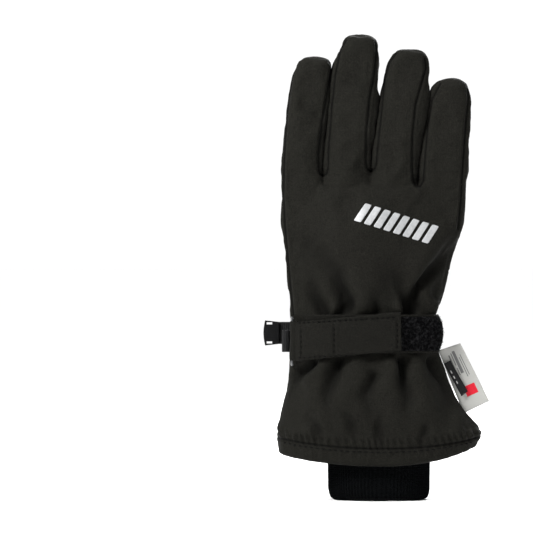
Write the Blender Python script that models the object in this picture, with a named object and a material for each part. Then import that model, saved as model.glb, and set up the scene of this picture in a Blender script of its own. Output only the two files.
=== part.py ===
"""Insulated ski glove for the right hand, standing on its knit cuff with the fingers pointing up.

The back of the hand faces -Y, the palm and the thumb face +Y, the thumb side is -X and +Z runs to the
fingertips. The origin is at floor level, in the middle of the glove's outline. Lengths are in metres.
Each layer of the wall (shell, padding, lining) is the same outline at another depth below the surface.
"""

import math

import bmesh
import bpy
from mathutils import Matrix, Vector

# Middle of the glove's outline, which becomes the origin
MIDDLE = (0.0008, 0.00916)

# Layers of the wall, as depths below the outer surface of the glove
GAP = 0.0003
SHELL = (0.0, 0.0010)
PADDING = (0.0013, 0.0037)
LINING = (0.0040, 0.0048)

# Heights of the main lines of the glove
HEM_MIDDLE = 0.017
HEM_RISE = 0.010
HEM_BAND = 0.011
STRAP_MIDDLE = 0.0885
WRIST_HEIGHT = 0.0990

# How square the cross-sections are: 2 is an ellipse
HAND_SQUARENESS = 2.5
FINGER_SQUARENESS = 2.6

HAND_SIDES = 32
FINGER_SIDES = 14
THUMB_SIDES = 16

# Hand, from the wrist to the web between the fingers: height, centre x, half width, half depth
HAND = (
    (0.0993, -0.0060, 0.0395, 0.0172),
    (0.1150, -0.0057, 0.0418, 0.0168),
    (0.1300, -0.0046, 0.0445, 0.0165),
    (0.1450, -0.0027, 0.0478, 0.0160),
    (0.1600, -0.0016, 0.0500, 0.0153),
    (0.1720, -0.0010, 0.0500, 0.0140),
    (0.1790, -0.0005, 0.0480, 0.0108),
    (0.1830, -0.0005, 0.0440, 0.0060),
)
WEB_START = 0.1700

# Gauntlet, from the wrist down to the hem
GAUNTLET = (
    (0.0990, -0.0060, 0.0395, 0.0172),
    (0.0880, -0.0055, 0.0392, 0.0172),
    (0.0750, -0.0047, 0.0417, 0.0190),
    (0.0630, -0.0040, 0.0456, 0.0212),
    (0.0520, -0.0030, 0.0500, 0.0232),
    (0.0400, -0.0010, 0.0533, 0.0246),
    (0.0300, 0.0010, 0.0545, 0.0250),
    (0.0160, 0.0010, 0.0535, 0.0245),
)
GAUNTLET_LINING = (0.0026, 0.0034)
SEAM_SPAN = math.pi - 0.024

# Knit cuff, from its seam at the wrist down to the floor
KNIT = (
    (0.0987, -0.0055, 0.0345, 0.0126),
    (0.0780, -0.0040, 0.0310, 0.0130),
    (0.0550, -0.0010, 0.0285, 0.0150),
    (0.0200, 0.0005, 0.0272, 0.0165),
    (0.0030, 0.0005, 0.0270, 0.0168),
    (0.0000, 0.0005, 0.0258, 0.0156),
)
KNIT_WALL = 0.0026

# Fingers: hinge height, hinge x, lean of the finger, height of the tip,
# half width at the hinge and near the tip, half depth near the tip
FINGERS = {
    "index": (0.1960, -0.0397, 0.13, 0.2410, 0.0102, 0.0106, 0.0100),
    "middle": (0.2000, -0.0156, 0.13, 0.2520, 0.0124, 0.0121, 0.0104),
    "ring": (0.1980, 0.0112, 0.17, 0.2450, 0.0117, 0.0120, 0.0102),
    "little": (0.1900, 0.0364, 0.11, 0.2295, 0.0123, 0.0104, 0.0098),
}
ROOT_LEAN = 0.05
ROOT_BOTTOM = 0.1620
HINGE_DEPTH = 0.0110
BEND_AXIS_Y = 0.0050
BEND_RANGE = math.radians(60)

# Thumb, from the ring that turns on the palm to the tip: centre, turn of the section
# from facing the palm (0) to lying flat (90), half width, half depth
THUMB_HOLE = (-0.0240, 0.1225)
THUMB_PLANE = 0.0180
THUMB_RADIUS = 0.0195
THUMB = (
    ((-0.0240, 0.0183, 0.1225), 0, 0.0195, 0.0195),
    ((-0.0240, 0.0276, 0.1270), 30, 0.0208, 0.0180),
    ((-0.0243, 0.0313, 0.1362), 60, 0.0218, 0.0145),
    ((-0.0240, 0.0310, 0.1460), 85, 0.0222, 0.0122),
    ((-0.0222, 0.0308, 0.1600), 90, 0.0206, 0.0120),
    ((-0.0185, 0.0306, 0.1750), 92, 0.0168, 0.0117),
    ((-0.0165, 0.0304, 0.1850), 92, 0.0140, 0.0108),
)
THUMB_TIP = 0.1970

# Wrist strap: layers above the surface of the wrist, and the slope of its free end
STRAP_HEIGHT = 0.021
STRAP_BASE = (0.0004, 0.0016)
LOOP_TAPE = (0.0019, 0.0028)
HOOK_TAPE = (0.0031, 0.0039)
STRAP_TAB = (0.0042, 0.0056)
TAB_SLOPE = 0.10
RING_BAR = 0.0011
RING_HEIGHT = 0.0265
RING_ANGLE = math.radians(152)
RING_REACH = 0.0080

# Clip on its webbing at the thumb side, and the labels in the seam of the little finger's side
WEBBING_WIDTH = 0.012
CLIP_SIZE = (0.0084, 0.0050, 0.0136)
CLIP_X = -0.0615
CLIP_HEIGHT = 0.0900
CLIP_ROOT = -0.0447

LABEL_TOP = (0.0368, 0.0, 0.0805)
LABEL_BOTTOM = (0.0502, 0.0, 0.0490)

# Reflective bars on the back of the hand
BAR_COUNT = 8
BAR_STEP = (0.00517, -0.00161)
BAR_TOP = (-0.0062, 0.1611)
BAR_SLANT = (-0.0066, -0.0093)
BAR_WIDTH = (0.0036, -0.0009)


def clear_scene():
    for thing in list(bpy.data.objects):
        bpy.data.objects.remove(thing)


def new_collection(name, hidden=False):
    made = bpy.data.collections.new(name)
    bpy.context.scene.collection.children.link(made)
    made.hide_render = hidden
    return made


def material(name, colour, roughness, metallic=0.0):
    made = bpy.data.materials.new(name)
    made.use_nodes = True
    shader = made.node_tree.nodes["Principled BSDF"]
    shader.inputs["Base Color"].default_value = (*colour, 1.0)
    shader.inputs["Roughness"].default_value = roughness
    shader.inputs["Metallic"].default_value = metallic
    return made


def mesh_object(name, points, faces, finish=None, group=None):
    """A mesh object whose faces are turned outwards."""
    mesh = bpy.data.meshes.new(name)
    shape = bmesh.new()
    corners = [shape.verts.new(point) for point in points]
    for face in faces:
        shape.faces.new([corners[i] for i in face])
    bmesh.ops.recalc_face_normals(shape, faces=shape.faces)
    shape.to_mesh(mesh)
    shape.free()
    made = bpy.data.objects.new(name, mesh)
    (group or GLOVE).objects.link(made)
    if finish:
        mesh.materials.append(finish)
    mesh.shade_smooth()
    mesh.set_sharp_from_angle(angle=math.radians(40))
    return made


def power(value, exponent):
    return math.copysign(abs(value) ** exponent, value)


def oval(angle, squareness):
    """Point of a rounded square of half size 1: angle 0 is +X and a quarter turn is -Y."""
    return power(math.cos(angle), 2 / squareness), -power(math.sin(angle), 2 / squareness)


def between(table, height):
    """The row of a section table at this height, straight between its neighbours."""
    rows = sorted(table)
    height = min(max(height, rows[0][0]), rows[-1][0])
    for low, high in zip(rows, rows[1:]):
        if height <= high[0]:
            share = (height - low[0]) / (high[0] - low[0])
            return tuple(a + (b - a) * share for a, b in zip(low, high))
    return rows[-1]


def wall_point(table, height, angle, depth, squareness=HAND_SQUARENESS):
    """Point of the glove's wall at a height and an angle round it, this deep below its surface."""
    _, centre, half_width, half_depth = between(table, height)
    across, through = oval(angle, squareness)
    return Vector((centre + (half_width - depth) * across, (half_depth - depth) * through, height))


def turns(count, start=0.0, end=math.tau):
    """Evenly spaced angles, with both ends unless they meet."""
    whole = end - start >= math.tau - 1e-6
    steps = count if whole else count - 1
    return [start + (end - start) * i / steps for i in range(count)]


def stitch_rings(first, second, count):
    """Faces of a band between two closed rings of points."""
    after = [(i + 1) % count for i in range(count)]
    return [(first + i, first + after[i], second + after[i], second + i) for i in range(count)]


def band_faces(rings, count, start=0):
    faces = []
    for k in range(rings - 1):
        faces += stitch_rings(start + k * count, start + (k + 1) * count, count)
    return faces


def tube(name, outer, inner, finish):
    """A tube open at both ends, from matching rings of its outer and inner walls."""
    count, rings = len(outer[0]), len(outer)
    points = [p for ring in outer + inner for p in ring]
    inside = rings * count
    faces = band_faces(rings, count) + band_faces(rings, count, inside)
    faces += stitch_rings(0, inside, count)
    faces += stitch_rings((rings - 1) * count, inside + (rings - 1) * count, count)
    return mesh_object(name, points, faces, finish)


def thimble(name, outer, outer_tip, inner, inner_tip, finish):
    """A tube open at its first ring and closed at its tip."""
    count = len(outer[0])
    points = [p for ring in outer for p in ring] + [outer_tip]
    inside = len(points)
    points += [p for ring in inner for p in ring] + [inner_tip]
    faces = band_faces(len(outer), count) + band_faces(len(inner), count, inside)
    faces += stitch_rings(0, inside, count)
    for start, rings in ((0, len(outer)), (inside, len(inner))):
        last, tip = start + (rings - 1) * count, start + rings * count
        faces += [(last + i, last + (i + 1) % count, tip) for i in range(count)]
    return mesh_object(name, points, faces, finish)


def capped(name, rings, group):
    """A solid through these rings, with flat ends."""
    count = len(rings[0])
    points = [p for ring in rings for p in ring]
    faces = band_faces(len(rings), count)
    faces += [tuple(range(count)), tuple(range(len(points) - count, len(points)))]
    return mesh_object(name, points, faces, group=group)


def slab(name, place, columns, rows, low, high, finish):
    """A thin sheet: place(u, v, offset) is its surface, and low and high are its two faces."""
    points = [
        place(i / columns, j / rows, offset)
        for offset in (low, high)
        for j in range(rows + 1)
        for i in range(columns + 1)
    ]
    wide = columns + 1
    layer = wide * (rows + 1)
    faces = [
        tuple(side + k for k in (j * wide + i, j * wide + i + 1, (j + 1) * wide + i + 1, (j + 1) * wide + i))
        for side in (0, layer)
        for j in range(rows)
        for i in range(columns)
    ]
    rim = [i for i in range(wide)]
    rim += [j * wide + columns for j in range(1, rows + 1)]
    rim += [rows * wide + i for i in range(columns - 1, -1, -1)]
    rim += [j * wide for j in range(rows - 1, 0, -1)]
    faces += [(a, b, b + layer, a + layer) for a, b in zip(rim, rim[1:] + rim[:1])]
    return mesh_object(name, points, faces, finish)


def box(name, low, high, group=None, finish=None):
    """A box between two corners, from a cube."""
    shape = bmesh.new()
    bmesh.ops.create_cube(shape, size=1)
    for corner in shape.verts:
        corner.co = [(a + b) / 2 + c * (b - a) for a, b, c in zip(low, high, corner.co)]
    mesh = bpy.data.meshes.new(name)
    shape.to_mesh(mesh)
    shape.free()
    made = bpy.data.objects.new(name, mesh)
    (group or GLOVE).objects.link(made)
    if finish:
        mesh.materials.append(finish)
    return made


def rod(name, start, end, radius, sides, group=None, finish=None):
    """A round bar between two points."""
    start, end = Vector(start), Vector(end)
    shape = bmesh.new()
    bmesh.ops.create_cone(
        shape, cap_ends=True, segments=sides, radius1=radius, radius2=radius, depth=(end - start).length
    )
    mesh = bpy.data.meshes.new(name)
    shape.to_mesh(mesh)
    shape.free()
    made = bpy.data.objects.new(name, mesh)
    made.rotation_mode = "QUATERNION"
    made.rotation_quaternion = (end - start).to_track_quat("Z", "Y")
    made.location = (start + end) / 2
    (group or GLOVE).objects.link(made)
    if finish:
        mesh.materials.append(finish)
        mesh.shade_smooth()
        mesh.set_sharp_from_angle(angle=math.radians(40))
    return made


def turn_about(made, point):
    """Move an object's origin onto the axis it turns about."""
    point = Vector(point)
    made.data.transform(made.matrix_basis)
    made.data.transform(Matrix.Translation(-point))
    made.matrix_basis = Matrix.Translation(point)


def cut(body, other, operation="DIFFERENCE", solver="EXACT"):
    modifier = body.modifiers.new(operation.lower(), "BOOLEAN")
    modifier.operation = operation
    modifier.object = other
    modifier.solver = solver
    if operation == "DIFFERENCE":
        other.display_type = "WIRE"


# Hand: back and palm of the shell, their padding, and the lining


def hand_ring(row, depth):
    """Ring of the hand; the web sinks with the depth, so that its wall keeps its thickness."""
    height = row[0] - (depth if row[0] > WEB_START else 0)
    return [wall_point(HAND, row[0], a, depth) + Vector((0, 0, height - row[0])) for a in turns(HAND_SIDES)]


def root_ring(finger, height, half_width, half_depth):
    hinge, x, *_ = FINGERS[finger]
    centre = x + ROOT_LEAN * (height - hinge)
    ring = []
    for angle in turns(FINGER_SIDES):
        across, through = oval(angle, FINGER_SQUARENESS)
        ring.append(Vector((centre + half_width * across, half_depth * through, height)))
    return ring


def hand_solid(name, depth, past_ends):
    """The whole hand with its finger roots and thumb ring, filled, this deep below the surface."""
    rings = [hand_ring(row, depth) for row in HAND]
    rings[0] = [p - Vector((0, 0, past_ends)) for p in rings[0]]
    body = capped(name, rings, HELPERS)
    for finger, (hinge, _, _, _, half_width, *_) in FINGERS.items():
        levels = (
            (ROOT_BOTTOM, half_width * 0.86, 0.0088),
            (hinge - 0.016, half_width, 0.0112),
            (hinge + 0.0025 + past_ends, half_width, HINGE_DEPTH),
        )
        root_rings = [root_ring(finger, z, w - depth, d - depth) for z, w, d in levels]
        cut(body, capped(f"{name}_{finger}", root_rings, HELPERS), "UNION", "MANIFOLD")
    x, z = THUMB_HOLE
    end = THUMB_PLANE + past_ends
    boss = rod(f"{name}_thumb", (x, 0.002, z), (x, end, z), THUMB_RADIUS - depth, 28, HELPERS)
    cut(body, boss, "UNION", "MANIFOLD")
    return body


def finger_axes(finger):
    """Origin on the bend line, and the directions across the finger and along it."""
    hinge, x, lean, *_ = FINGERS[finger]
    along = Vector((lean, 0, 1)).normalized()
    return Vector((x, 0, hinge)), Vector((along.z, 0, -along.x)), along


def bend_cutter():
    """Everything of the hand above the fingers' bends: flat at the back, sloped away at the palm."""
    points, faces = [], []
    slope = math.tan(BEND_RANGE / 2)
    deep, tall = 0.016, 0.030
    drop = GAP / 2 + (deep - BEND_AXIS_Y) * slope
    profile = ((-deep, -GAP / 2), (BEND_AXIS_Y, -GAP / 2), (deep, -drop), (deep, tall), (-deep, tall))
    for finger, row in FINGERS.items():
        origin, across, along = finger_axes(finger)
        half = row[4] + 0.0005
        start, count = len(points), len(profile)
        for side in (-half, half):
            points += [origin + across * side + Vector((0, y, 0)) + along * s for y, s in profile]
        faces.append(tuple(start + i for i in range(count)))
        faces.append(tuple(start + count + i for i in range(count)))
        faces += stitch_rings(start, start + count, count)
    return mesh_object("bend_cutter", points, faces, group=HELPERS)


def hand_layer(name, layer, finish, side=None):
    """One layer of the hand; side keeps only its back (-1) or its palm (1)."""
    made = hand_solid(name, layer[0], 0.0)
    HELPERS.objects.unlink(made)
    GLOVE.objects.link(made)
    made.data.materials.append(finish)
    if side:
        far = 0.11
        edges = sorted((side * GAP / 2, -side * far))
        half = box(f"{name}_half", (-far, edges[0], -far), (far, edges[1], 3 * far), HELPERS)
        cut(made, half, solver="MANIFOLD")
    cut(made, hand_solid(f"{name}_inside", layer[1], 0.004), solver="MANIFOLD")
    cut(made, BEND, solver="MANIFOLD")
    return made


def palm_patch(finish):
    """Grip patch sewn over the palm, with a round cut-out for the thumb."""
    growth = (0.0003, 0.0009)
    outer = capped("palm_grip_patch", [hand_ring(row, -growth[1]) for row in HAND[:-2]], GLOVE)
    outer.data.materials.append(finish)
    inner_rings = [hand_ring(row, -growth[0]) for row in HAND[:-2]]
    inner_rings[0] = [p - Vector((0, 0, 0.004)) for p in inner_rings[0]]
    inner_rings[-1] = [p + Vector((0, 0, 0.004)) for p in inner_rings[-1]]
    cut(outer, capped("patch_inside", inner_rings, HELPERS))
    cut(outer, box("patch_below", (-0.1, -0.1, 0.05), (0.1, 0.1, 0.1270), HELPERS))
    cut(outer, box("patch_above", (-0.1, -0.1, 0.1612), (0.1, 0.1, 0.2), HELPERS))
    cut(outer, box("patch_back", (-0.1, -0.1, 0.05), (0.1, 0.0065, 0.3), HELPERS))
    x, z = THUMB_HOLE
    cut(outer, rod("patch_hole", (x, 0.0, z), (x, 0.05, z), THUMB_RADIUS + 0.0006, 28, HELPERS))
    cut(outer, box("patch_thumb_side", (-0.1, -0.1, 0.05), (x, 0.1, z + 0.014), HELPERS))
    return outer


# Fingers and thumb: each a pocket of three layers, closed at the tip


def finger_layer(finger, layer_name, layer, finish):
    hinge, x, lean, tip, half_width, tip_width, tip_depth = FINGERS[finger]
    origin, across, along = finger_axes(finger)
    length = (tip - hinge) / along.z
    slope = math.tan(BEND_RANGE / 2)
    dome = 0.0115

    def rings(depth):
        top = length - depth
        made = []
        stations = [(0.0, 1.0), (0.009, 1.0), (top - dome, 1.0)]
        stations += [(top - dome + dome * math.sin(a), math.cos(a)) for a in (0.55, 1.0, 1.32)]
        for s, shrink in stations:
            share = min(s / (length - dome), 1.0)
            wide = (half_width + (tip_width - half_width) * share - depth) * shrink
            deep = (HINGE_DEPTH + (tip_depth - HINGE_DEPTH) * share - depth) * shrink
            ring = []
            for angle in turns(FINGER_SIDES):
                u, v = oval(angle, FINGER_SQUARENESS)
                height = s
                if s == 0.0:
                    height = GAP / 2 + max(0.0, deep * v - BEND_AXIS_Y) * slope
                ring.append(origin + across * (wide * u) + Vector((0, deep * v, 0)) + along * height)
            made.append(ring)
        return made, origin + along * top

    outer, outer_tip = rings(layer[0])
    inner, inner_tip = rings(layer[1])
    made = thimble(f"{finger}_finger_{layer_name}", outer, outer_tip, inner, inner_tip, finish)
    turn_about(made, origin + Vector((0, BEND_AXIS_Y, 0)))


def thumb_layer(layer_name, layer, finish):
    """The thumb starts as a ring flat on the palm, turns upwards over its heel and closes at the tip."""

    def section(centre, turn, half_width, half_depth, depth):
        turn = math.radians(turn)
        into = Vector((0, -math.sin(turn), math.cos(turn)))
        ring = []
        for angle in turns(THUMB_SIDES):
            u, v = oval(angle, 2.15)
            across = Vector(((half_width - depth) * u, 0, 0))
            ring.append(Vector(centre) + across - into * ((half_depth - depth) * v))
        return ring

    def rings(depth):
        made = [section(*row, depth) for row in THUMB]
        (x, y, z), turn, half_width, half_depth = THUMB[-1]
        rise = THUMB_TIP - depth - z
        for a in (0.62, 1.18):
            shrink = math.cos(a)
            centre = (x + 0.001 * a, y, z + rise * math.sin(a))
            size = ((half_width - depth) * shrink, (half_depth - depth) * shrink)
            made.append(section(centre, turn, *size, 0))
        return made, Vector((x + 0.0015, y, z + rise))

    outer, outer_tip = rings(layer[0])
    inner, inner_tip = rings(layer[1])
    made = thimble(f"thumb_{layer_name}", outer, outer_tip, inner, inner_tip, finish)
    turn_about(made, (THUMB_HOLE[0], THUMB_PLANE, THUMB_HOLE[1]))


# Gauntlet, hem, elastic and knit cuff


def hem_height(x):
    """The hem hangs lowest in the middle of the glove and rises to its sides."""
    return HEM_MIDDLE + HEM_RISE * (x / GAUNTLET[-1][2]) ** 2


def gauntlet_point(angle, share, depth):
    """Point of the gauntlet's wall, from the wrist (0) to the top of the hem band (1)."""
    edge = wall_point(GAUNTLET, 0.030, angle, depth)
    height = WRIST_HEIGHT + (hem_height(edge.x) + HEM_BAND + GAP - WRIST_HEIGHT) * share
    return wall_point(GAUNTLET, height, angle, depth)


def gauntlet_half(name, side, finish):
    start = 0.012 if side < 0 else math.pi + 0.012

    def place(u, v, depth):
        return gauntlet_point(start + SEAM_SPAN * u, v, depth)

    return slab(name, place, 16, 8, SHELL[1], SHELL[0], finish)


def gauntlet_lining(finish):
    shares = [i / 8 for i in range(9)]
    angles = turns(HAND_SIDES)
    outer, inner = ([[gauntlet_point(a, s, d) for a in angles] for s in shares] for d in GAUNTLET_LINING)
    return tube("gauntlet_lining", outer, inner, finish)


def hem_band(finish):
    """Folded band closing the edge of shell and lining."""

    def ring(depth, rise):
        made = []
        for angle in turns(HAND_SIDES):
            edge = wall_point(GAUNTLET, 0.030, angle, depth)
            made.append(wall_point(GAUNTLET, hem_height(edge.x) + rise, angle, depth))
        return made

    rises = (HEM_BAND, HEM_BAND / 2, 0.0008)
    outer = [ring(-0.0006, r) for r in rises] + [ring(0.0004, 0.0)]
    inner = [ring(GAUNTLET_LINING[1] - 0.0004, r) for r in rises] + [ring(GAUNTLET_LINING[1] - 0.0014, 0.0)]
    return tube("hem_band", outer, inner, finish)


def wrist_elastic(finish):
    """Elastic sewn inside the palm side of the wrist."""

    def place(u, v, depth):
        return gauntlet_point(math.pi + 0.012 + SEAM_SPAN * (1 + 14 * u) / 16, 0.25 * v, depth)

    return slab("wrist_elastic", place, 14, 2, 0.0022, 0.0014, finish)


def knit_cuff(finish):
    outer = [[wall_point(KNIT, z, a, 0, 2.2) for a in turns(HAND_SIDES)] for z, *_ in KNIT]
    inner = [[wall_point(KNIT, z, a, KNIT_WALL, 2.2) for a in turns(HAND_SIDES)] for z, *_ in KNIT]
    return tube("knit_cuff", outer, inner, finish)


# Wrist strap, its ring, the clip and the labels


def strap_point(angle, rise, height):
    """Point over the wrist: the strap follows the narrowest section, whatever its height."""
    _, centre, half_width, half_depth = GAUNTLET[1]
    across, through = oval(angle, HAND_SQUARENESS)
    return Vector((centre + (half_width + rise) * across, (half_depth + rise) * through, height))


def strap_piece(name, first, last, height, offset, layer, finish, slope=0.0):
    """A length of strap between two angles round the wrist."""

    def place(u, v, rise):
        point = strap_point(first + (last - first) * u, rise + 0.0018, 0)
        lift = slope * (point.x + 0.018)
        point.z = STRAP_MIDDLE + offset + lift + height * (v - 0.5)
        return point

    return slab(name, place, 14, 2, *layer, finish)


def ring_places():
    """Where the ring's two bars run: the strap folds round one, and the keeper holds the other."""
    bar = strap_point(RING_ANGLE, 0.0060, 0)
    side = strap_point(math.radians(171), 0.0048, 0)
    return bar, side


def strap_ring(finish):
    """Plastic loop: two upright bars and two short ones, joined."""
    bar, side = ring_places()
    low = STRAP_MIDDLE - 0.0026 - RING_HEIGHT / 2
    high = low + RING_HEIGHT
    past = 0.0006
    made = rod("strap_ring", (bar.x, bar.y, low), (bar.x, bar.y, high), RING_BAR, 10, finish=finish)
    pieces = [rod("ring_far_bar", (side.x, side.y, low), (side.x, side.y, high), RING_BAR, 10, HELPERS)]
    out = (bar - side).normalized() * past
    for name, z in (("ring_low_bar", low + RING_BAR), ("ring_high_bar", high - RING_BAR)):
        start = Vector((side.x, side.y, z)) - out
        end = Vector((bar.x, bar.y, z)) + out
        pieces.append(rod(name, start, end, RING_BAR * 1.12, 9, HELPERS))
    for piece in pieces:
        cut(made, piece, "UNION")
    return made


def strap_tab(finish):
    """Free end of the strap, with the fold that turns on the ring's bar."""
    bar, _ = ring_places()
    first, last = math.radians(72), math.radians(146)
    made = strap_piece("strap_tab", first, last, STRAP_HEIGHT, 0.0, STRAP_TAB, finish, TAB_SLOPE)
    middle = STRAP_MIDDLE - TAB_SLOPE * 0.024
    low, high = middle - STRAP_HEIGHT / 2, middle + STRAP_HEIGHT / 2
    fold = rod("tab_fold", (bar.x, bar.y, low), (bar.x, bar.y, high), RING_BAR + 0.0019, 14, HELPERS)
    cut(made, fold, "UNION")
    ends = ((bar.x, bar.y, low - 0.01), (bar.x, bar.y, high + 0.01))
    hole = rod("tab_hole", *ends, RING_BAR + 0.0004, 14, HELPERS)
    cut(made, hole)
    turn_about(made, (bar.x, bar.y, STRAP_MIDDLE))


def ring_keeper(finish):
    """Webbing loop sewn at the thumb side that holds the ring's outer bar."""
    _, side = ring_places()
    half = 0.0060
    middle = STRAP_MIDDLE - 0.0026
    ends = ((side.x, side.y, middle - half), (side.x, side.y, middle + half))
    made = rod("ring_keeper", *ends, RING_BAR + 0.0013, 14, finish=finish)
    root = (side.x + 0.0004, 0.0, middle)
    tail = box(
        "keeper_tail",
        (root[0] - 0.0003, side.y, middle - half + 0.0004),
        (root[0] + 0.0010, 0.0042, middle + half - 0.0004),
        HELPERS,
    )
    cut(made, tail, "UNION")
    ends = ((side.x, side.y, middle - 0.02), (side.x, side.y, middle + 0.02))
    hole = rod("keeper_hole", *ends, RING_BAR + 0.0003, 14, HELPERS)
    cut(made, hole)
    return made


def clip_webbing(finish):
    """Short webbing from the side seam to the clip."""
    x = CLIP_X + CLIP_SIZE[0] + GAP
    half = WEBBING_WIDTH / 2
    low, high = (x, 0.0056, CLIP_HEIGHT - half), (CLIP_ROOT, 0.0070, CLIP_HEIGHT + half)
    made = box("clip_webbing", low, high, finish=finish)
    turn_about(made, (CLIP_ROOT, 0.0063, CLIP_HEIGHT))


def clip_body(finish):
    """Flat socket half of a clip: bowed outer edge, two narrow slots, and a mouth for the mating half."""
    length, thick, height = CLIP_SIZE
    bow = 0.0010
    outline = [(0.0, -0.5), (1.0, -0.44), (1.0, 0.44), (0.0, 0.5)]
    outline += [(-bow / length * math.sin(math.pi * i / 6), 0.5 - i / 6) for i in range(1, 6)]
    middle = 0.0063
    points = [
        Vector((CLIP_X + bow + u * (length - bow), middle + y * thick / 2, CLIP_HEIGHT + v * height))
        for y in (-1, 1)
        for u, v in outline
    ]
    count = len(outline)
    faces = [tuple(range(count)), tuple(range(count, 2 * count))] + stitch_rings(0, count, count)
    made = mesh_object("clip_body", points, faces, finish)
    for name, z in (("clip_low_slot", -0.0052), ("clip_high_slot", 0.0052)):
        slot = box(
            name,
            (CLIP_X + 0.0019, -0.02, CLIP_HEIGHT + z - 0.0006),
            (CLIP_X + 0.0049, 0.03, CLIP_HEIGHT + z + 0.0006),
            HELPERS,
        )
        cut(made, slot)
    mouth = box(
        "clip_mouth",
        (CLIP_X - 0.01, middle - 0.0012, CLIP_HEIGHT - 0.0038),
        (CLIP_X + 0.0062, middle + 0.0012, CLIP_HEIGHT + 0.0038),
        HELPERS,
    )
    cut(made, mouth)
    turn_about(made, (CLIP_ROOT, middle, CLIP_HEIGHT))


def label(name, start, end, width, level, finish):
    """Flag label sewn by its long edge into the side seam; start and end are shares of that edge."""
    top, bottom = Vector(LABEL_TOP), Vector(LABEL_BOTTOM)
    down = bottom - top
    out = Vector((-down.z, 0, down.x)).normalized()
    first, last = top + down * start, top + down * end

    def place(u, v, rise):
        return first.lerp(last, v) + out * (0.0004 + width * u) + Vector((0, level - rise, 0))

    turn_about(slab(name, place, 3, 4, 0.0, 0.0004, finish), top)


def reflective_bar(number, finish):
    step = Vector(BAR_STEP) * number
    corner = Vector(BAR_TOP) + step

    def place(u, v, rise):
        x, z = corner + Vector(BAR_WIDTH) * u + Vector(BAR_SLANT) * v
        _, centre, half_width, half_depth = between(HAND, z)
        share = abs(x - centre) / (half_width + rise)
        deep = (half_depth + rise) * (1 - share**HAND_SQUARENESS) ** (1 / HAND_SQUARENESS)
        return Vector((x, -deep, z))

    return slab(f"reflective_bar_{number + 1}", place, 2, 4, 0.0003, 0.0006, finish)


clear_scene()
GLOVE = new_collection("ski_glove")
HELPERS = new_collection("cutters", hidden=True)

softshell = material("softshell", (0.017, 0.017, 0.015), 0.75)
wadding = material("wadding", (0.75, 0.75, 0.73), 0.95)
fleece = material("fleece", (0.02, 0.02, 0.022), 0.9)
grip = material("grip", (0.022, 0.023, 0.025), 0.55)
rib_knit = material("rib_knit", (0.008, 0.009, 0.011), 0.9)
elastic = material("elastic", (0.7, 0.7, 0.68), 0.8)
loop_pile = material("loop_pile", (0.006, 0.006, 0.007), 0.95)
hook_tape = material("hook_tape", (0.01, 0.01, 0.011), 0.6)
webbing = material("webbing", (0.02, 0.021, 0.021), 0.7)
black_plastic = material("black_plastic", (0.006, 0.006, 0.006), 0.35)
grey_plastic = material("grey_plastic", (0.1, 0.1, 0.1), 0.35)
reflective = material("reflective", (0.52, 0.55, 0.56), 0.35, 0.2)
satin = material("satin", (0.6, 0.6, 0.58), 0.5)
black_satin = material("black_satin", (0.01, 0.01, 0.012), 0.5)

BEND = bend_cutter()
hand_layer("hand_back_shell", SHELL, softshell, -1)
hand_layer("hand_palm_shell", SHELL, softshell, 1)
hand_layer("hand_back_padding", PADDING, wadding, -1)
hand_layer("hand_palm_padding", PADDING, wadding, 1)
hand_layer("hand_lining", LINING, fleece)
palm_patch(grip)
LAYERS = (("shell", SHELL, softshell), ("padding", PADDING, wadding), ("lining", LINING, fleece))
for layer_name, layer, finish in LAYERS:
    for finger in FINGERS:
        finger_layer(finger, layer_name, layer, finish)
    thumb_layer(layer_name, layer, finish)
gauntlet_half("gauntlet_back_shell", -1, softshell)
gauntlet_half("gauntlet_palm_shell", 1, softshell)
gauntlet_lining(fleece)
hem_band(softshell)
wrist_elastic(elastic)
knit_cuff(rib_knit)
strap_piece("strap_base", math.radians(6), math.radians(140), STRAP_HEIGHT, 0.0015, STRAP_BASE, softshell)
strap_piece("loop_tape", math.radians(19), math.radians(96), 0.0185, 0.0015, LOOP_TAPE, loop_pile)
hook = strap_piece(
    "hook_tape", math.radians(74), math.radians(95), 0.0165, 0.0, HOOK_TAPE, hook_tape, TAB_SLOPE
)
turn_about(hook, (*ring_places()[0].xy, STRAP_MIDDLE))
strap_tab(softshell)
strap_ring(grey_plastic)
ring_keeper(webbing)
clip_webbing(webbing)
clip_body(black_plastic)
label("care_label", 0.0, 1.0, 0.0135, 0.0, satin)
label("size_label", 0.30, 0.78, 0.0050, -0.0007, black_satin)
for number in range(BAR_COUNT):
    reflective_bar(number, reflective)

for thing in [*GLOVE.objects, *HELPERS.objects]:
    thing.location -= Vector((*MIDDLE, 0))
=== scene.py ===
import math

import bmesh
import bpy
import numpy as np
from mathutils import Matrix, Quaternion, Vector
from mathutils.bvhtree import BVHTree
from mathutils.kdtree import KDTree


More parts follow.
